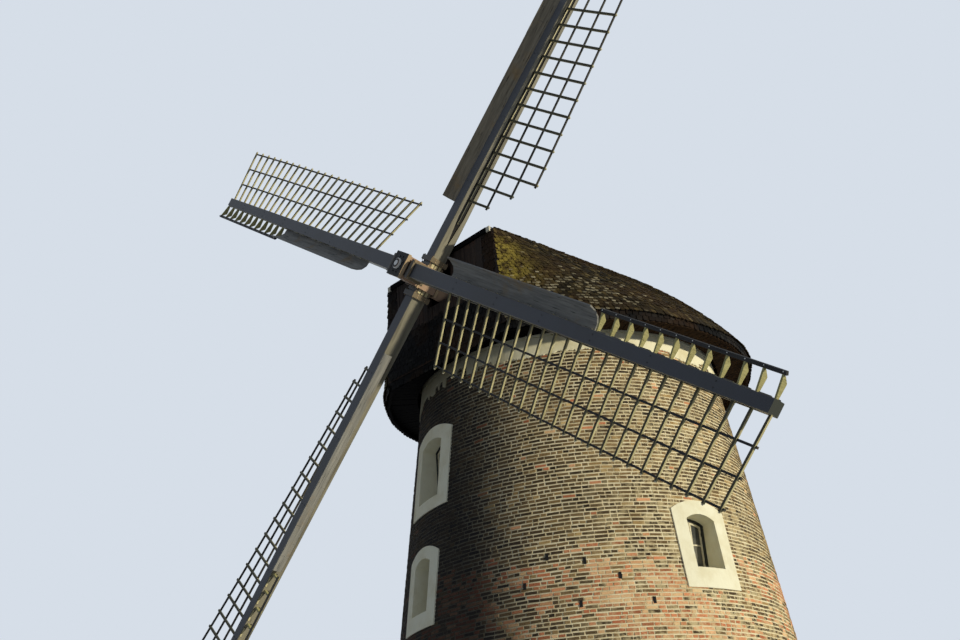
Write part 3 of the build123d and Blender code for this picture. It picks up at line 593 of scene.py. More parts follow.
def lay_bricks():
    """every brick of the tower's outer face, with a rounded rim, proud of the mortar"""
    rows = int(BRICK_TOP / COURSE)
    parts = [[] for _ in range(BRICK_MESHES)]
    for row in range(rows):
        z0 = row * COURSE + (COURSE - BRICK_HEIGHT) / 2
        z1 = z0 + BRICK_HEIGHT
        radius = wall_radius(z0)
        edges = brick_edges(radius)
        count = len(edges) - 1
        joint = np.degrees(JOINT / radius) / 2
        a0 = edges[:-1] + joint * rng.uniform(0.6, 1.4, count)
        a1 = edges[1:] - joint * rng.uniform(0.6, 1.4, count)
        middle = (a0 + a1) / 2
        keep = ~in_opening(middle, z0, z1)
        a0, a1, middle = a0[keep], a1[keep], middle[keep]
        n = len(a0)
        level = np.full(n, z0)
        zone = wave_field(middle, level, 3, 1.0) + 0.5 * wave_field(middle, level, 9, 2.5)
        low_wall = np.clip((RED_TOP - z0) / RED_FADE, 0, 1)
        top_wall = np.clip((z0 - HIGH_RED) / HIGH_FADE, 0, 1)
        chance = 0.015 + 0.10 * (zone > 1.05) + low_wall * (0.16 + 0.64 * (zone > -0.15))
        chance += 0.42 * top_wall * (zone > -0.2)
        red = (rng.random(n) < chance) * rng.uniform(0.55, 1.0, n)
        tone = np.clip(rng.beta(1.7, 3.0, n) + 0.16 * wave_field(middle, level, 5, 1.6), 0, 1)
        tone = np.where(red > 0, np.clip(tone + 0.25, 0, 1), tone)
        proud = rng.uniform(*BRICK_PROUD, n)
        tilt_out = rng.normal(0, BRICK_TILT, (n, 4))
        verts = np.zeros((n, 12, 3))
        inset = rng.uniform(*RIM, (n, 4))
        shake = rng.normal(0, BRICK_SHAKE, (n, 4))
        for k, (side, top) in enumerate(((0, 0), (1, 0), (1, 1), (0, 1))):
            azimuth = a1 if side else a0
            sway = BRICK_SWAY * wave_field(azimuth, level * 0.3, 11, 1.5)
            z = (z1 if top else z0) + sway + shake[:, k]
            for ring, (out, inward) in enumerate(((-0.004, 0.0), (-0.003, 0.0), (0.0, 1.0))):
                step = np.degrees(inset[:, k] * inward / radius) * (-1 if side else 1)
                level_z = z + inset[:, k] * inward * 0.7 * (-1 if top else 1)
                r = wall_radius(level_z) + (proud + out + tilt_out[:, k] if ring else -0.004)
                turn = np.radians(azimuth + step)
                verts[:, 4 * ring + k] = np.stack([r * np.cos(turn), r * np.sin(turn), level_z], axis=1)
        parts[min(BRICK_MESHES - 1, row * BRICK_MESHES // rows)].append((verts, tone, red))
    quads = [[j + k, j + (k + 1) % 4, j + 4 + (k + 1) % 4, j + 4 + k] for j in (0, 4) for k in range(4)]
    quads = np.array(quads + [[8, 9, 10, 11]])
    for index, part in enumerate(parts):
        verts, tone, red = [np.concatenate(column) for column in zip(*part)]
        count = len(verts)
        edge = np.tile([1.0] * 8 + [0.0] * 4, count)
        values = {"tint": np.repeat(tone, 12), "red": np.repeat(red, 12), "edge": edge}
        faces = (quads[None] + 12 * np.arange(count)[:, None, None]).reshape(-1, 4)
        mesh_piece(f"bricks_{index + 1}", verts, [faces], BRICK, "tower", values)


def opening_axes(azimuth, middle_height):
    """origin on the wall's face, level with the ground, with the directions across and outwards"""
    out, across = level_axes(radians(azimuth))
    return out * wall_radius(middle_height), across, out


def wall_slits():
    """dark blocks in the mouths of the upright slits between the bricks, leaning with the wall: painted
    shadow of the hollow behind
    """
    mouths = Boxes()
    x, y = SLIT_WIDTH / 2, SLIT_HEIGHT / 2
    for azimuth, z in SLITS:
        place, across, out = opening_axes(azimuth, z)
        lean = (Z - out * BATTER).normalized()
        mouths.block(place + Z * z, across, lean, out, (-x, x), (-y, y), (-0.002, 0.015))
    mouths.piece("wall_slits", HOLE, "tower", "brick")


# Plaster band: its lower edge, a groove, and notches as azimuth, width in degrees and lift
BAND_LOW, BAND_MOST, GROOVE, BAND_POINTS = 12.15, 0.33, 12.60, 1200
GROOVE_SHAPE = ((-0.012, 0.033), (-0.008, 0.004), (0.008, 0.004), (0.012, 0.033))
NOTCHES = (
    (-101.0, 2.4, 0.20),
    (-96.5, 4.6, 0.22),
    (-90.0, 5.0, 0.26),
    (-80.0, 6.0, 0.12),
    (-12.0, 5.0, 0.14),
)


def plaster_ring():
    """the plaster band under the cap, with its ragged and broken lower edge and a thin dark groove"""
    count = BAND_POINTS
    azimuth = np.arange(count) * 360 / count - 180
    flat = np.zeros(count)
    low = BAND_LOW + 0.03 + 0.035 * wave_field(azimuth, flat, 21, 4.0) + rng.uniform(-0.008, 0.008, count)
    broken = wave_field(azimuth, flat, 23, 1.4)
    low = np.where(broken > 0.45, low + 0.10 + 0.05 * wave_field(azimuth, flat, 25, 7.0), low)
    for start, width, lift in NOTCHES:
        inside = (azimuth > start) & (azimuth < start + width)
        low = np.where(inside, BAND_LOW + lift + rng.uniform(-0.01, 0.01, count), low)
    low = np.clip(low, BAND_LOW, BAND_LOW + BAND_MOST)
    levels = [(low, 0.001), (low, 0.022), (low + 0.014, 0.032)]
    levels += [(flat + GROOVE + z, out) for z, out in GROOVE_SHAPE]
    levels += [(flat + WALL_TOP, 0.033), (flat + WALL_TOP, 0.001)]
    turn = np.radians(azimuth)
    swell = 0.002 * wave_field(azimuth, flat, 27, 6.0)
    rows = []
    for z, out in levels:
        r = wall_radius(z) + out + (np.clip(swell, -0.004, 0.001) if out > 0.01 else 0)
        rows.append(np.stack([r * np.cos(turn), r * np.sin(turn), z], axis=1))
    index = np.arange(count)
    after = (index + 1) % count
    faces = []
    for base in range(0, (len(levels) - 1) * count, count):
        faces.append(np.stack([index, after, after + count, index + count], axis=1) + base)
    piece = mesh_piece("plaster_ring", np.concatenate(rows), faces, PLASTER_TOP, "tower")
    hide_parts("plaster_band")


# Sashes and doors: widths and depths in metres
FRAME_WIDTH, SASH_GAP, SASH_HEAD, STILE, MEETING = 0.055, 0.008, 0.042, 0.036, 0.004
DOOR_FACE, DOOR_FRAME, PLANK_THICK, STRAP_THICK = -REVEAL - 0.0275, 0.062, 0.014, 0.007
STRAP_BOLTS = (-0.42, -0.2, 0.02, 0.24)


def head_height(x, half, spring, rise):
    """height of a segmental head at a distance from its middle"""
    radius = (half * half + rise * rise) / (2 * rise)
    return spring + rise - radius + sqrt(radius * radius - x * x)


def casements():
    """pale sashes in the dark window frames: two leaves, each with a bar at mid-height"""
    boxes, iron = Boxes(), Boxes()
    back, face = -REVEAL - 0.034, -REVEAL - 0.012
    inner, clear = MEETING, FRAME_WIDTH + SASH_GAP
    for azimuth, sill, height, width in WINDOWS:
        spring = sill + height
        place, across, out = opening_axes(azimuth, (sill + spring) / 2)
        outer, low = width / 2 - FRAME_WIDTH - SASH_GAP, sill + FRAME_WIDTH + SASH_GAP
        for side in (-1, 1):
            xs = np.linspace(inner, outer, 5)
            tops = [head_height(x, width / 2, spring, WINDOW_RISE) - clear for x in xs]
            for x0, x1, t0, t1 in zip(xs, xs[1:], tops, tops[1:]):
                head = [(x0, t0 - SASH_HEAD), (x1, t1 - SASH_HEAD), (x1, t1), (x0, t0)]
                boxes.plate(place, across, Z, out, [(side * x, z) for x, z in head], (back, face))
            stiles = ((inner, inner + STILE, tops[0]), (outer - STILE, outer, tops[-1]))
            for x0, x1, top in stiles:
                ends = sorted((side * x0, side * x1))
                boxes.block(place, across, out, Z, ends, (back, face + 0.001), (low, top - 0.01), bevel=0.003)
            middle = low + 0.52 * (tops[0] - low)
            for z0, z1 in ((low, low + 0.05), (middle, middle + 0.026)):
                ends = sorted((side * inner, side * outer))
                boxes.block(place, across, out, Z, ends, (back, face), (z0, z1))
            for z in (low + 0.18, tops[-1] - 0.16):
                ends = sorted((side * (outer - 0.012), side * (outer + 0.012)))
                iron.block(place, across, out, Z, ends, (face, face + 0.006), (z - 0.035, z + 0.035))
    boxes.piece("casements", CASEMENT, "tower", "painted_joinery")
    iron.piece("casement_hinges", IRON, "tower", "iron")


def door_details():
    """planks, strap hinges and a ring handle on the closed doors"""
    planks, iron = Boxes(), Boxes()
    half, front = DOOR_WIDTH / 2 - DOOR_FRAME, DOOR_FACE + PLANK_THICK
    for azimuth in DOORS:
        spring = THRESHOLD + DOOR_HEIGHT
        place, across, out = opening_axes(azimuth, (THRESHOLD + spring) / 2)
        edges = np.linspace(-half, half, 8)
        for x0, x1 in zip(edges, edges[1:]):
            x0, x1 = x0 + 0.003, x1 - 0.003
            top = [head_height(x, DOOR_WIDTH / 2, spring, DOOR_RISE) - 0.064 for x in (x0, x1)]
            outline = [(x0, THRESHOLD + 0.065), (x1, THRESHOLD + 0.065), (x1, top[1]), (x0, top[0])]
            planks.plate(place, across, Z, out, outline, (DOOR_FACE, front))
        for z in (THRESHOLD + 0.35, spring - 0.25):
            depth = (front, front + STRAP_THICK)
            iron.block(place, across, out, Z, (-half, 0.30), depth, (z - 0.022, z + 0.022))
            for x in STRAP_BOLTS:
                iron.rod(place + across * x + Z * z, out, 0.011, front + 0.006, front + 0.014, sides=8)
        handle = place + across * 0.36 + Z * (THRESHOLD + 1.02)
        iron.rod(handle, out, 0.035, front, front + 0.006, sides=16)
        iron.rod(handle, out, 0.016, front + 0.006, front + 0.041)
    planks.piece("door_planks", DOOR_GREEN, "tower", "door_paint")
    iron.piece("door_ironwork", IRON, "tower", "iron")


# Shingled cap


def roof_half_width(z):
    steep = np.arccos(np.clip(cos(EAVE_SLOPE) + (z - EAVE) / ARC, -1, 1))
    return EAVE_RADIUS - ARC * (sin(EAVE_SLOPE) - np.sin(steep))


EAVE_CORNER = sqrt(EAVE_RADIUS**2 - FRONT**2)
HIP_RATIO = SHOULDER_CORNER / float(roof_half_width(SHOULDER))
SHINGLE_STEP, SHINGLE_WIDTH, FRONT_WIDTH = 0.105, 0.100, 0.140
SHINGLE_SHAPE = ((-0.5, 0.16), (-0.26, 0.0), (0.26, 0.0), (0.5, 0.16), (0.5, 1.0), (-0.5, 1.0))
HATCH_HALF, HATCH_LOW, HATCH_BOARDS = 1.35, 13.62, 17
SKIRT_LOW, SKIRT_INSET = 12.51, 0.036
SHAFT_HALF, SHAFT_MIDDLE, FASCIA_LOW = 0.370, 14.29, 14.88
SOFFIT_COUNT, SOFFIT_INNER, SOFFIT_SHORT, SOFFIT_DROP = 150, 3.41, 0.115, 0.078
FLASH_STARTS, FLASH_WIDTH, FLASH_PROUD, FLASH_TOP = (-1.70, 1.602), 0.098, 0.050, 14.985
# along the roof: the middle and the spread of its sag, its moss and its painted tip highlights
SAG, MOSS, LIT_TIPS = (-0.3, 1.0), (-3.60, 0.42), (-2.7, 1.0)


def roof_front(z):
    """half width and Y of the roof's flat front at a height"""
    if z <= SHOULDER:
        share = (z - EAVE) / (SHOULDER - EAVE)
        return EAVE_CORNER + (SHOULDER_CORNER - EAVE_CORNER) * share, -FRONT
    share = (z - SHOULDER) / (RIDGE - SHOULDER)
    return HIP_RATIO * float(roof_half_width(z)), HIP_RUN * share - FRONT


def roof_points(z, side):
    """the roof's outline at a height on one side, densely, from the front corner to the rear middle"""
    half = float(roof_half_width(z))
    corner, front = roof_front(z)
    length = -front / sqrt(max(1e-9, 1 - (corner / half) ** 2))
    back = half + REAR_RUN * (z - EAVE) / (RIDGE - EAVE)
    y = np.linspace(front, 0, 60)
    x = half * np.sqrt(np.maximum(0, 1 - (y / length) ** 2))
    turn = np.linspace(0, pi / 2, 80)[1:]
    x = np.concatenate([x, half * np.cos(turn)])
    y = np.concatenate([y, back * np.sin(turn)])
    return np.stack([x * side, y, np.full(len(x), z)], axis=1)


def at_shares(points, share):
    """points at shares of a polyline's length"""
    lengths = np.concatenate([[0], np.cumsum(np.linalg.norm(np.diff(points, axis=0), axis=1))])
    keys = lengths / lengths[-1]
    return np.stack([np.interp(share, keys, points[:, k]) for k in range(3)], axis=1)


def shares_along(points, step, offset):
    """shares of a polyline's length at even steps"""
    length = np.linalg.norm(np.diff(points, axis=0), axis=1).sum()
    return np.arange(offset, length, step) / length


def unit(v):
    return v / np.linalg.norm(v, axis=1)[:, None]


def direction_at(line, share):
    """the direction of a polyline at shares of its length"""
    return unit(at_shares(line, share + 0.004) - at_shares(line, share - 0.004))


class Shingles:
    """shingles, laid as plates with a rounded lower end; pale is the share with a painted highlight on the
    tip
    """

    def __init__(self, pale=0.0):
        self.share = pale
        self.verts, self.tint, self.low, self.moss, self.pale = [], [], [], [], []

    def lay(self, foot, across, head, out, width, moss=0.0, thick=0.014, rough=1.0, pale=None):
        """arrays of the places of the foot and head, and of the directions across and outwards"""
        n = len(foot)
        across, out = [np.broadcast_to(v, (n, 3)) for v in (across, out)]
        width = width * rng.uniform(0.80, 0.98, n)
        shift = rng.normal(0, 0.008, n) * rough
        thick = thick * rng.uniform(0.7, 1.4, n)
        lift = rng.uniform(0.010, 0.026, n) * rough
        skew = rng.normal(0, 0.030, n) * rough
        rise = head - foot
        length = np.linalg.norm(rise, axis=1)
        up = rise / length[:, None]
        rows = []
        for layer in (0, 1):
            for u, v in SHINGLE_SHAPE:
                height = v * length if v == 1 else v * SHINGLE_STEP * 0.9 + np.zeros(n)
                height = height + (shift if v < 1 else 0) + skew * u * width
                proud = lift * (1 - v) + 0.003 + (thick if layer else 0)
                beside, above = across * (u * width)[:, None], up * height[:, None]
                rows.append(foot + beside + above + out * proud[:, None])
        self.verts.append(np.stack(rows, axis=1))
        self.tint.append(np.repeat(np.clip(rng.beta(1.6, 2.6, n), 0, 1), 12))
        # which shingles get the painted highlight on their tips
        worn = rng.random(n) < (self.share if pale is None else pale)
        self.pale.append(np.repeat(worn * rng.uniform(0.08, 0.62, n), 12))
        self.low.append(np.tile([1 - v if v < 1 else 0 for _, v in SHINGLE_SHAPE] * 2, n))
        self.moss.append(np.repeat(np.broadcast_to(moss, (n,)), 12))

    def piece(self, name, surface, slot):
        verts = np.concatenate(self.verts)
        base = 12 * np.arange(len(verts))[:, None]
        top = base + np.arange(6, 12)[None]
        sides = np.array([[k, (k + 1) % 6, 6 + (k + 1) % 6, 6 + k] for k in (5, 0, 1, 2, 3)])
        quads = (base[:, :, None] + sides[None]).reshape(-1, 4)
        values = {key: np.concatenate(getattr(self, key)) for key in ("tint", "low", "moss", "pale")}
        return mesh_piece(name, verts, [top, quads], surface, "cap", values)


def arc_height(run):
    """height on the roof after a run up its arc from the eave"""
    return EAVE + ARC * (cos(EAVE_SLOPE - run / ARC) - cos(EAVE_SLOPE))


def bump_at(y, middle, width):
    """1 at a middle, falling to 0 round it"""
    return np.exp(-(((y - middle) / width) ** 2))


def shingle_sides():
    """rows of shingles up both sides of the roof and round its rear"""
    for name, side in (("shingles_left", -1), ("shingles_right", 1)):
        batch = Shingles()
        run, row = -0.02, 0
        while arc_height(run) < RIDGE_TOP - 0.07:
            z = arc_height(run)
            line = roof_points(z, side)
            upper = roof_points(min(arc_height(run + SHINGLE_STEP * 1.7), RIDGE_TOP + 0.02), side)
            start = SHINGLE_WIDTH * (0.5 if row % 2 else 0.9) + rng.uniform(0, 0.02)
            share = shares_along(line, SHINGLE_WIDTH, start)
            share = share + rng.normal(0, 0.0005, len(share))
            foot, head = at_shares(line, share), at_shares(upper, share)
            across = direction_at(line, share)
            out = unit(np.cross(across, head - foot)) * -side
            out = np.where(out[:, 2:3] < 0, -out, out)
            y = foot[:, 1]
            if row < 3 and side > 0:
                foot[:, 2] -= 0.075 * bump_at(y, *SAG) * (1 - row / 3)
            near = bump_at(y, *MOSS) * np.clip((z - 13.3) / 0.4, 0, 1)
            moss = (1.0 if side > 0 else 0.3) * near * np.clip((14.75 - z) / 0.3, 0, 1)
            # share of painted tip highlights, most on the lower rows towards the front
            pale = 0.008 + 0.60 * bump_at(y, *LIT_TIPS) * np.clip((14.1 - z) / 0.7, 0, 1)
            batch.lay(foot, across, head, out, SHINGLE_WIDTH, moss, pale=pale)
            run += SHINGLE_STEP
            row += 1
        batch.piece(name, SHINGLE, "shingle")


def shingle_hip():
    """the sloping front above the fascia"""
    batch = Shingles(0.02)
    slope = atan2(RIDGE - SHOULDER, HIP_RUN)
    rise = SHINGLE_STEP * sin(slope)
    z, row = SHOULDER + 0.05, 0
    while z < RIDGE_TOP - 0.07:
        corner, y = roof_front(z)
        top = min(z + rise * 1.6, RIDGE_TOP)
        upper_corner, upper_y = roof_front(top)
        x = np.arange(-corner + SHINGLE_WIDTH * (0.55 if row % 2 else 0.9), corner - 0.06, SHINGLE_WIDTH)
        n = len(x)
        if n:
            inner = x * min(1, (upper_corner + 0.04) / corner) if corner else x
            foot = np.stack([x, np.full(n, y), np.full(n, z)], axis=1)
            head = np.stack([inner, np.full(n, upper_y), np.full(n, top)], axis=1)
            batch.lay(foot, [1.0, 0, 0], head, [0, -sin(slope), cos(slope)], SHINGLE_WIDTH)
        z += rise
        row += 1
    batch.piece("shingles_hip", SHINGLE, "shingle")


def shingle_front():
    """dark shingles on the straight front wall beside the boards, and on the skirt under the eave"""
    batch = Shingles(0.10)
    z, row = SKIRT_LOW, 0
    while z < SHOULDER - 0.10:
        corner = roof_front(max(z, EAVE))[0] - (0.03 if z < EAVE else 0.0)
        x = np.arange(-corner + FRONT_WIDTH * (0.55 if row % 2 else 0.9), corner - 0.05, FRONT_WIDTH)
        if z > HATCH_LOW - 0.02:
            x = x[np.abs(x) > HATCH_HALF + 0.07]
        y = -FRONT + (SKIRT_INSET if z < EAVE - 0.02 else 0.0)
        foot = np.stack([x, np.full(len(x), y), np.full(len(x), z)], axis=1)
        head = foot + [0, 0, SHINGLE_STEP * 1.5]
        batch.lay(foot, [1.0, 0, 0], head, [0, -1.0, 0], FRONT_WIDTH, thick=0.010, rough=0.5)
        z += SHINGLE_STEP
        row += 1
    inset = 1 - SKIRT_INSET / EAVE_RADIUS
    for side in (-1, 1):
        for row in range(2):
            line = roof_points(EAVE, side) * [inset, inset, 1]
            line[:, 2] = SKIRT_LOW + row * 0.09
            share = shares_along(line, FRONT_WIDTH, 0.07 + 0.07 * row)
            foot = at_shares(line, share)
            across = direction_at(line, share)
            out = np.cross(across, np.tile([0, 0, 1.0], (len(foot), 1))) * side
            batch.lay(foot, across, foot + [0, 0, 0.10], out, FRONT_WIDTH, thick=0.010, rough=0.5)
    batch.piece("shingles_front", SHINGLE_DARK, "front_boarding")


def front_boards():
    """weathered upright boards round the shaft's opening, rails beside them and two flashings"""
    boxes, flash = Boxes(), Boxes()
    jitter = np.concatenate([[0], rng.normal(0, 0.012, HATCH_BOARDS - 1), [0]])
    edges = np.linspace(-HATCH_HALF, HATCH_HALF, HATCH_BOARDS + 1) + jitter
    low, high = HATCH_LOW, FASCIA_LOW - 0.003
    for x0, x1 in zip(edges, edges[1:]):
        x0, x1 = x0 + 0.004, x1 - 0.004
        thick = rng.uniform(0.016, 0.024)
        spans = [(low + rng.uniform(-0.02, 0.02), high)]
        if x0 < SHAFT_HALF and x1 > -SHAFT_HALF:
            spans = [(spans[0][0], SHAFT_MIDDLE - SHAFT_HALF), (SHAFT_MIDDLE + SHAFT_HALF, high)]
        for span in spans:
            boxes.block((0, -FRONT, 0), X, -Y, Z, (x0, x1), (0.0, thick), span, bevel=0.003)
    for x in (-HATCH_HALF - 0.03, HATCH_HALF + 0.03):
        boxes.block((x, -FRONT, 0), X, -Y, Z, (-0.028, 0.028), (0.0, 0.028), (low - 0.03, high), bevel=0.003)
    boxes.piece("front_boards", FRONT_BOARDS, "cap", "front_boarding")
    sizes = (0.0, FLASH_WIDTH), (0.0, FLASH_PROUD), (FASCIA_LOW - 0.01, FLASH_TOP)
    for start in FLASH_STARTS:
        flash.block((start, -FRONT, 0), X, -Y, Z, *sizes)
    flash.piece("fascia_flashing", FLASH, "cap", "flashing")


def soffit():
    """boards that run outwards under the eave, seen from below"""
    boxes = Boxes()
    low = EAVE - SOFFIT_DROP
    turns = np.linspace(0, 2 * pi, SOFFIT_COUNT + 1)
    outline = np.concatenate([roof_points(EAVE, 1), roof_points(EAVE, -1)[::-1]])
    around = np.arctan2(outline[:, 1], outline[:, 0])
    reach = np.hypot(outline[:, 0], outline[:, 1])
    order = np.argsort(around)
    for k in range(SOFFIT_COUNT):
        ends = (turns[k] + 0.002, turns[k + 1] - 0.002)
        drop = rng.uniform(0, 0.008)
        far = []
        for t in ends:
            wrapped = (t + pi) % (2 * pi) - pi
            if abs(wrapped + pi / 2) < atan2(EAVE_CORNER, FRONT):
                far.append(FRONT / max(0.2, -sin(wrapped)) - SOFFIT_SHORT)
            else:
                far.append(float(np.interp(wrapped, around[order], reach[order])) - SOFFIT_SHORT)
        (t0, t1), (f0, f1) = ends, far
        ring = [(SOFFIT_INNER, t0), (f0, t0), (f1, t1), (SOFFIT_INNER, t1)]
        boxes.prism(*[[(r * cos(t), r * sin(t), z) for r, t in ring] for z in (low - drop, low + 0.017)])
    boxes.piece("soffit_boards", SOFFIT_BOARDS, "cap", "front_boarding")


# Sails: distances along an arm are from its hub; planks and brackets are given by
# their distances from the stock's middle, to the leading side and forwards

CHANNEL_START, CHANNEL_FULL, CHANNEL_DEPTH, CHANNEL_SHARE = 0.785, 1.5, 0.030, 0.46
STRIP_START, STRIP_COUNT = 1.35, 12
STRIP_DEEP, STRIP_SHALLOW, STRIP_HALF = 0.031, 0.012, 0.011
POLL_HALF, POLL_PROUD, POLL_SUNK = 0.250, 0.022, 0.004
POLL_BANDS = ((0.215, 0.292), (-0.262, -0.222), (-0.752, -0.690))
BOLT_CIRCLE, BOLT_COUNT = 0.185, 8
# the boss: radius, start and end along the shaft, and sides of each step
BOSS_STEPS = ((0.118, 0.288, 0.328, 40), (0.062, 0.328, 0.346, 28))
REAR_PIVOT, REAR_STEPPED, TIP_LENGTH = -0.060, 2, 0.022
BOARD_START, BOARD_END, BOARD_HALF = 1.800, 6.840, 0.013
BOARD_PLANKS = (
    ((0.120, 0.003), (0.268, 0.0170)),
    ((0.266, 0.0175), (0.381, 0.091)),
    ((0.378, 0.090), (0.441, 0.203)),
    ((0.439, 0.201), (0.470, 0.325)),
)
BRACKET_FROM, BRACKET_HALF = 14, 0.019
BRACKET = (
    (0.105, 0.080), (0.452, 0.149), (0.462, 0.130), (0.440, 0.096),
    (0.366, 0.021), (0.350, 0.017), (0.105, 0.031),
)
BATTEN_OUT, BATTEN_FORWARD, BATTEN_TILT = 0.487, 0.140, radians(30)
BATTEN_X, BATTEN_Y = (-0.032, 0.032), (-0.0225, 0.0225)


def stock_half(t):
    """half the width and half the depth of a stock at a distance from its middle"""
    share = max(0.0, (abs(t) - STOCK_STRAIGHT) / (STOCK_END - STOCK_STRAIGHT))
    width = STOCK_WIDTH + (TIP_WIDTH - STOCK_WIDTH) * share
    return width / 2, (STOCK_DEPTH + (TIP_DEPTH - STOCK_DEPTH) * share) / 2


def bar_distance(number):
    return FIRST_BAR + (number - 1) * BAR_SPACING


def twist(number):
    """the sail's twist at a bar, in radians"""
    share = (number - 1) / (BAR_COUNT - 1)
    bow = 4 * (MIDDLE_TWIST - (ROOT_TWIST + TIP_TWIST) / 2)
    return radians(ROOT_TWIST + (TIP_TWIST - ROOT_TWIST) * share + bow * share * (1 - share))


def stocks():
    """both stocks, with chamfered edges and a long sunk channel in the trailing side of each arm"""
    for node, origin, along, across, turn in (
        ("stock_a", HUB, FIRST, SECOND, -1),
        ("stock_b", REAR_HUB, SECOND, FIRST, 1),
    ):
        verts, dark, quads = [], [], []
        half = [(0.78, 0, 0.04), (CHANNEL_START, 1, 0.04), (CHANNEL_FULL, 1, 1), (STOCK_END - 0.315, 1, 1)]
        half += [(STOCK_END - 0.30, 0, 1), (STOCK_END, 0, 1)]
        stations = [(-t, deep, wide) for t, deep, wide in reversed(half)] + half
        rings = []
        for t, deep, wide in stations:
            a, b = stock_half(t)
            c, h = 0.009, CHANNEL_SHARE * b * wide
            ring = []
            for side in (1, -1):
                e = CHANNEL_DEPTH * deep if side * turn * t > 0 else 0.0
                rim = [(a - c, b), (a, b - c), (a, h), (a - e, h - 0.006)]
                rim += [(a - e, -h + 0.006), (a, -h), (a, c - b), (a - c, -b)]
                ring += rim if side > 0 else [(-x, y) for x, y in reversed(rim)]
            rings.append([origin + along * t + across * x + FORWARD * y for x, y in ring])
        for (t, deep, _), (_, after_deep, _), low, high in zip(stations, stations[1:], rings, rings[1:]):
            sunk = (2, 3, 4) if turn * t > 0 else (10, 11, 12)
            for k in range(16):
                after = (k + 1) % 16
                quads.append(len(verts) + np.arange(4))
                verts += [low[k], low[after], high[after], high[k]]
                # faces of the sunk channels, marked for painted shade
                dark += [float(k in sunk and deep and after_deep)] * 4
        ends = []
        for ring in (rings[0], rings[-1]):
            ends.append(len(verts) + np.arange(16))
            verts += ring
            dark += [0] * 16
        faces = [np.array(quads), np.array(ends)]
        piece = mesh_piece(node + "_beam", verts, faces, STOCKS[node], "rotor", {"dark": dark})
        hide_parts(node)


def stock_fittings():
    """strips in the stocks' channels, pale plates on the leading edges and a square peg at each bar"""
    pale, studs, bolts = Boxes(), Boxes(), Boxes()
    for origin, along, trailing in ARMS.values():
        steps = np.linspace(STRIP_START, STOCK_END - 0.36, STRIP_COUNT)
        for t0, t1 in zip(steps, steps[1:]):
            rings = []
            for t in (t0, t1):
                a = stock_half(t)[0]
                deep, shallow, h = a - STRIP_DEEP, a - STRIP_SHALLOW, STRIP_HALF
                outline = ((deep, -h), (shallow, -h), (shallow, h), (deep, h))
                rings.append([origin + along * t + trailing * x + FORWARD * y for x, y in outline])
            pale.prism(*rings)
        for number in range(1, BAR_COUNT):
            t = bar_distance(number) + BAR_SPACING / 2
            a, b = stock_half(t)
            long = rng.uniform(0.085, 0.125)
            if number % 3 or number > 13:
                x, y = (-a - 0.013, -a + 0.002), (b - 0.042, b - 0.008)
                pale.block(origin + along * t, trailing, FORWARD, along, x, y, (-long, long))
        for number in range(1, BAR_COUNT + 1):
            t = bar_distance(number)
            a = stock_half(t)[0]
            x, y, z = (-a - 0.014, -a + 0.002), (-0.020, 0.020), (-0.024, 0.024)
            studs.block(origin + along * t, trailing, FORWARD, along, x, y, z, bevel=0.003)
        for number in range(2, BAR_COUNT, 4):
            t = bar_distance(number)
            a, b = stock_half(t)
            for x in (-0.45 * a, 0.45 * a):
                bolts.rod(origin + along * t + trailing * x, FORWARD, 0.013, b - 0.002, b + 0.006, sides=8)
    pale.piece("stock_strips", CREAM, "rotor", "wedge_paint")
    studs.piece("stock_pegs", BATTEN, "rotor", "stock_paint")
    bolts.piece("stock_bolts", IRON, "rotor", "poll_iron")


def poll_details():
    """flange bands round the poll end, its pale boss, and wedges and bolts at the clamps"""
    bands, boss, ring, wedges, bolts = [Boxes() for _ in range(5)]
    for depth in POLL_BANDS:
        for x, y in ((FIRST, SECOND), (SECOND, FIRST)):
            for side in (-1, 1):
                x_range = sorted((side * (POLL_HALF - POLL_SUNK), side * (POLL_HALF + POLL_PROUD)))
                reach = POLL_HALF + (POLL_PROUD if x is FIRST else -POLL_SUNK)
                bands.block(HUB, x, y, FORWARD, x_range, (-reach, reach), depth, bevel=0.004)
    bands.piece("poll_bands", BAND, "rotor", "poll_iron")
    for step in BOSS_STEPS:
        boss.rod(HUB, FORWARD, *step)
    for k in range(BOLT_COUNT):
        turn = 2 * pi * (k + 0.5) / BOLT_COUNT
        place = HUB + FIRST * BOLT_CIRCLE * cos(turn) + SECOND * BOLT_CIRCLE * sin(turn)
        ring.rod(place, FORWARD, 0.016, 0.288, 0.306, sides=6)
    boss.piece("poll_boss", BOSS, "rotor", "poll_iron")
    ring.piece("poll_bolts", IRON, "rotor", "poll_iron")
    a, b = STOCK_WIDTH / 2, STOCK_DEPTH / 2
    for origin, along, trailing in ARMS.values():
        for x in (-1, 1):
            for y in (-0.55, 0.0, 0.55):
                place = origin + FORWARD * y * b
                x_range = sorted((x * (a + 0.001), x * (a + 0.020)))
                length = (0.255, rng.uniform(0.345, 0.362))
                wedges.block(place, trailing, FORWARD, along, x_range, (-0.034, 0.034), length, bevel=0.003)
            for y in (-1, 1):
                place = origin + trailing * x * (a + 0.026) + FORWARD * y * (b + 0.047)
                bolts.rod(place, FORWARD * y, 0.014, 0.0, 0.014, sides=6)
                place = origin + trailing * x * (a + 0.047) + FORWARD * y * (b * 0.6)
                for t in (0.395, 0.445):
                    bolts.rod(place + along * t, trailing * x, 0.013, 0.0, 0.012, sides=6)
            for y in (-1, 1):
                base = origin + trailing * x * (a + 0.024) + FORWARD * y * (b + 0.024)
                bolts.rod(base + along * 0.42, along, 0.012, -0.075, 0.075, sides=6)
    wedges.piece("poll_wedges", CREAM, "rotor", "wedge_paint")
    bolts.piece("clamp_bolts", BAND, "rotor", "poll_iron")


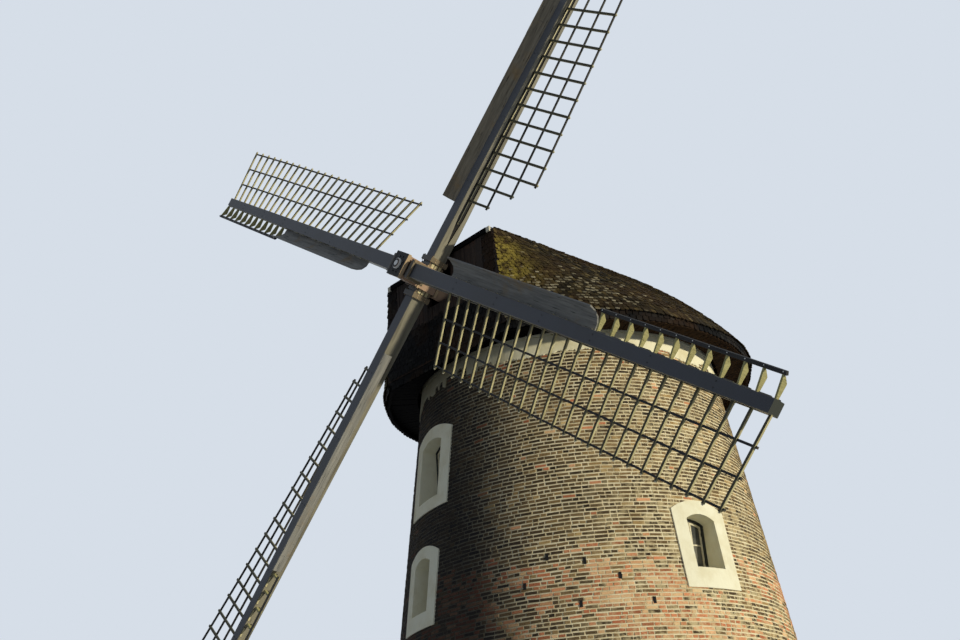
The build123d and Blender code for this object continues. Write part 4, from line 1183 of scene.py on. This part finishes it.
def sail_lattices():
    """each sail's twisted bars and long rails, with pegs at the bar ends and nails at the crossings"""
    w, d = BAR_WIDTH / 2, BAR_DEPTH / 2
    h, c = RAIL_SIZE / 2, 0.004
    rail = [(-h + c, -h), (h - c, -h), (h, -h + c), (h, h - c)]
    rail += [(h - c, h), (c - h, h), (-h, h - c), (-h, c - h)]
    for arm, (origin, along, trailing) in ARMS.items():
        pivot, stepped = (0.0, 0) if arm in ("right", "left") else (REAR_PIVOT, REAR_STEPPED)
        bars, rails, nails = Boxes(), Boxes(), Boxes()
        for number in range(1, BAR_COUNT + 1):
            a = twist(number)
            t = bar_distance(number)
            axis = trailing * cos(a) - FORWARD * sin(a)
            face = FORWARD * cos(a) + trailing * sin(a)
            place = origin + along * t - trailing * LEAN * t - FORWARD * pivot
            rail_count = min(number, 3) if number <= stepped else 3
            reach = RAIL_RADII[rail_count - 1] + BAR_OVERHANG
            root = stock_half(t)[0] + LEAN * t - 0.012
            drift = rng.normal(0, 0.0015)
            length = (root, reach - TIP_LENGTH)
            bars.block(place, along, face, axis, (-w, w), (-d, d), length, bevel=0.004, tip=0.0)
            # the thin end beyond the outer rail carries the painted highlight
            x, y = w - 4 * d / 5, d - 0.006
            length = (reach - TIP_LENGTH, reach + drift)
            bars.block(place, along, face, axis, (-x, x), (-y, y), length, tip=1.0)
            for radius in RAIL_RADII[:rail_count]:
                nails.rod(place + axis * radius, face, 0.009, d - 0.002, d + 0.004, sides=6)
        for index, radius in enumerate(RAIL_RADII):
            start = 1 + min(index, stepped)
            rings = []
            for number in range(start, BAR_COUNT + 1):
                end = -RAIL_OVERHANG if number == start else RAIL_OVERHANG if number == BAR_COUNT else 0.0
                t = bar_distance(number) + end
                a = twist(number)
                x, back = radius * cos(a) - LEAN * t, radius * sin(a) + pivot + RAIL_BACK
                place = origin + along * t
                rings.append([place + trailing * (x + u) + FORWARD * (v - back) for u, v in rail])
            for low, high in zip(rings, rings[1:]):
                rails.prism(low, high)
        for name, boxes, surface in (("bars", bars, BAR_WOODS), ("rails", rails, RAIL_WOODS)):
            piece = boxes.piece(f"sail_{name}_{arm}", surface[arm], "rotor", "sail_wood")
            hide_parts(f"sail_lattice_{arm}")
        nails.piece(f"sail_nails_{arm}", IRON, "rotor", "sail_wood")


def wind_boards():
    """weathered planks that curl forwards on the leading side near the root"""
    for arm, (origin, along, trailing) in ARMS.items():
        boxes = Boxes()
        for index, ((x0, w0), (x1, w1)) in enumerate(BOARD_PLANKS):
            run = sqrt((x1 - x0) ** 2 + (w1 - w0) ** 2)
            nx, nw = -(w1 - w0) / run * BOARD_HALF, (x1 - x0) / run * BOARD_HALF
            outline = [(x0 + nx, w0 + nw), (x1 + nx, w1 + nw), (x1 - nx, w1 - nw), (x0 - nx, w0 - nw)]
            cuts = [BOARD_START + 0.002 * index, 3.1 + 0.9 * index, 5.6 + 0.3 * index, BOARD_END]
            for t0, t1 in zip(cuts, cuts[1:]):
                shift = rng.normal(0, 0.0015)
                rings = []
                for t in (t0 + 0.002, t1 - 0.002):
                    place = origin + along * t
                    rings.append([place - trailing * x + FORWARD * (w + shift) for x, w in outline])
                boxes.prism(*rings)
        piece = boxes.piece(f"wind_boards_{arm}", PLANK_WOODS[arm], "rotor", "edge_wood")
        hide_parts("wind_boards")


def leading_edges():
    """kite-shaped brackets along the outer half of each stock, with a batten on their tips"""
    fins, battens, pegs = Boxes(), Boxes(), Boxes()
    low, high = bar_distance(BRACKET_FROM) - 0.06, bar_distance(BAR_COUNT) + 0.06
    for origin, along, trailing in ARMS.values():
        for number in range(BRACKET_FROM, BAR_COUNT + 1):
            t = bar_distance(number) + rng.normal(0, 0.003)
            rings = []
            for offset in (-BRACKET_HALF, BRACKET_HALF):
                rings.append([origin + along * (t + offset) - trailing * x + FORWARD * w for x, w in BRACKET])
            fins.prism(*rings)
            place = origin + along * t - trailing * BATTEN_OUT + FORWARD * BATTEN_FORWARD
            pegs.rod(place, FORWARD, 0.010, 0.020, 0.034, sides=6)
        x = trailing * cos(BATTEN_TILT) - FORWARD * sin(BATTEN_TILT)
        y = trailing * sin(BATTEN_TILT) + FORWARD * cos(BATTEN_TILT)
        place = origin - trailing * BATTEN_OUT + FORWARD * BATTEN_FORWARD
        battens.block(place, x, y, along, BATTEN_X, BATTEN_Y, (low, high), bevel=0.005)
    for name, boxes, surface in (("brackets", fins, FIN), ("battens", battens, BATTEN)):
        piece = boxes.piece(name, surface, "rotor", "edge_wood")
        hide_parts("leading_edges")
    pegs.piece("batten_pegs", BOSS, "rotor", "edge_wood")


# Floor and light

FLOOR_COLOR, FLOOR_SEEN, FLOOR_SEEN_SHARE = rgb(226, 226, 222), rgb(244, 246, 248), 0.55
FLOOR_REACH, FLOOR_LEVEL = 1500.0, -0.002
SUN_ENERGY, SUN_ANGLE, SUN_COLOR = 2.9, radians(2.5), (1.0, 0.95, 0.78)
SUN_AZIMUTH, SUN_HEIGHT = radians(14), radians(3.2)
SKY_SEEN, SKY_FILL, FILL_STRENGTH = rgb(214, 222, 232), rgb(190, 205, 230), 0.36


def stage_and_light():
    """a pale floor, a pale sky for the camera, a warm low key light and an even fill"""
    floor = Surface("floor", rough=0.9, specular=0.1)
    floor.put(floor.inputs["Base Color"], FLOOR_COLOR)
    shaded = floor.tree.nodes["Principled BSDF"].outputs[0]
    glow = floor.node("Emission", {"Color": FLOOR_SEEN})
    share = floor.math("MULTIPLY", floor.seen(), FLOOR_SEEN_SHARE)
    blend = floor.node("MixShader", {0: share, 1: shaded, 2: glow})
    floor.put(floor.tree.nodes["Material Output"].inputs["Surface"], blend)
    mesh = bpy.data.meshes.new("floor")
    square = ((-1, -1), (1, -1), (1, 1), (-1, 1))
    corners = [(x * FLOOR_REACH, y * FLOOR_REACH, FLOOR_LEVEL) for x, y in square]
    mesh.from_pydata(corners, [], [(0, 1, 2, 3)])
    mesh.materials.append(floor.mat)
    ground = bpy.data.objects.new("floor", mesh)
    scene.collection.objects.link(ground)

    sun = bpy.data.lights.new("key", "SUN")
    sun.energy, sun.angle, sun.color = SUN_ENERGY, SUN_ANGLE, SUN_COLOR
    lamp = bpy.data.objects.new("key", sun)
    toward = level_axes(SUN_AZIMUTH)[0] * cos(SUN_HEIGHT) + Z * sin(SUN_HEIGHT)
    lamp.rotation_euler = toward.to_track_quat("Z", "Y").to_euler()
    scene.collection.objects.link(lamp)

    world = bpy.data.worlds.new("world")
    scene.world = world
    world.use_nodes = True
    sky = Nodes(world.node_tree)
    sky.tree.nodes.clear()
    seen = sky.node("Background", {"Color": SKY_SEEN, "Strength": 1.0})
    fill = sky.node("Background", {"Color": SKY_FILL, "Strength": FILL_STRENGTH})
    out = sky.tree.nodes.new("ShaderNodeOutputWorld")
    sky.put(out.inputs[0], sky.node("MixShader", {0: sky.seen(), 1: fill, 2: seen}))


for build in (
    set_camera, lay_bricks, wall_slits, plaster_ring, casements, door_details,
    shingle_sides, shingle_hip, shingle_front, front_boards, soffit,
    stocks, stock_fittings, poll_details, sail_lattices, wind_boards, leading_edges, stage_and_light,
):
    build()
scene.view_settings.view_transform = "Standard"
bpy.context.view_layer.update()
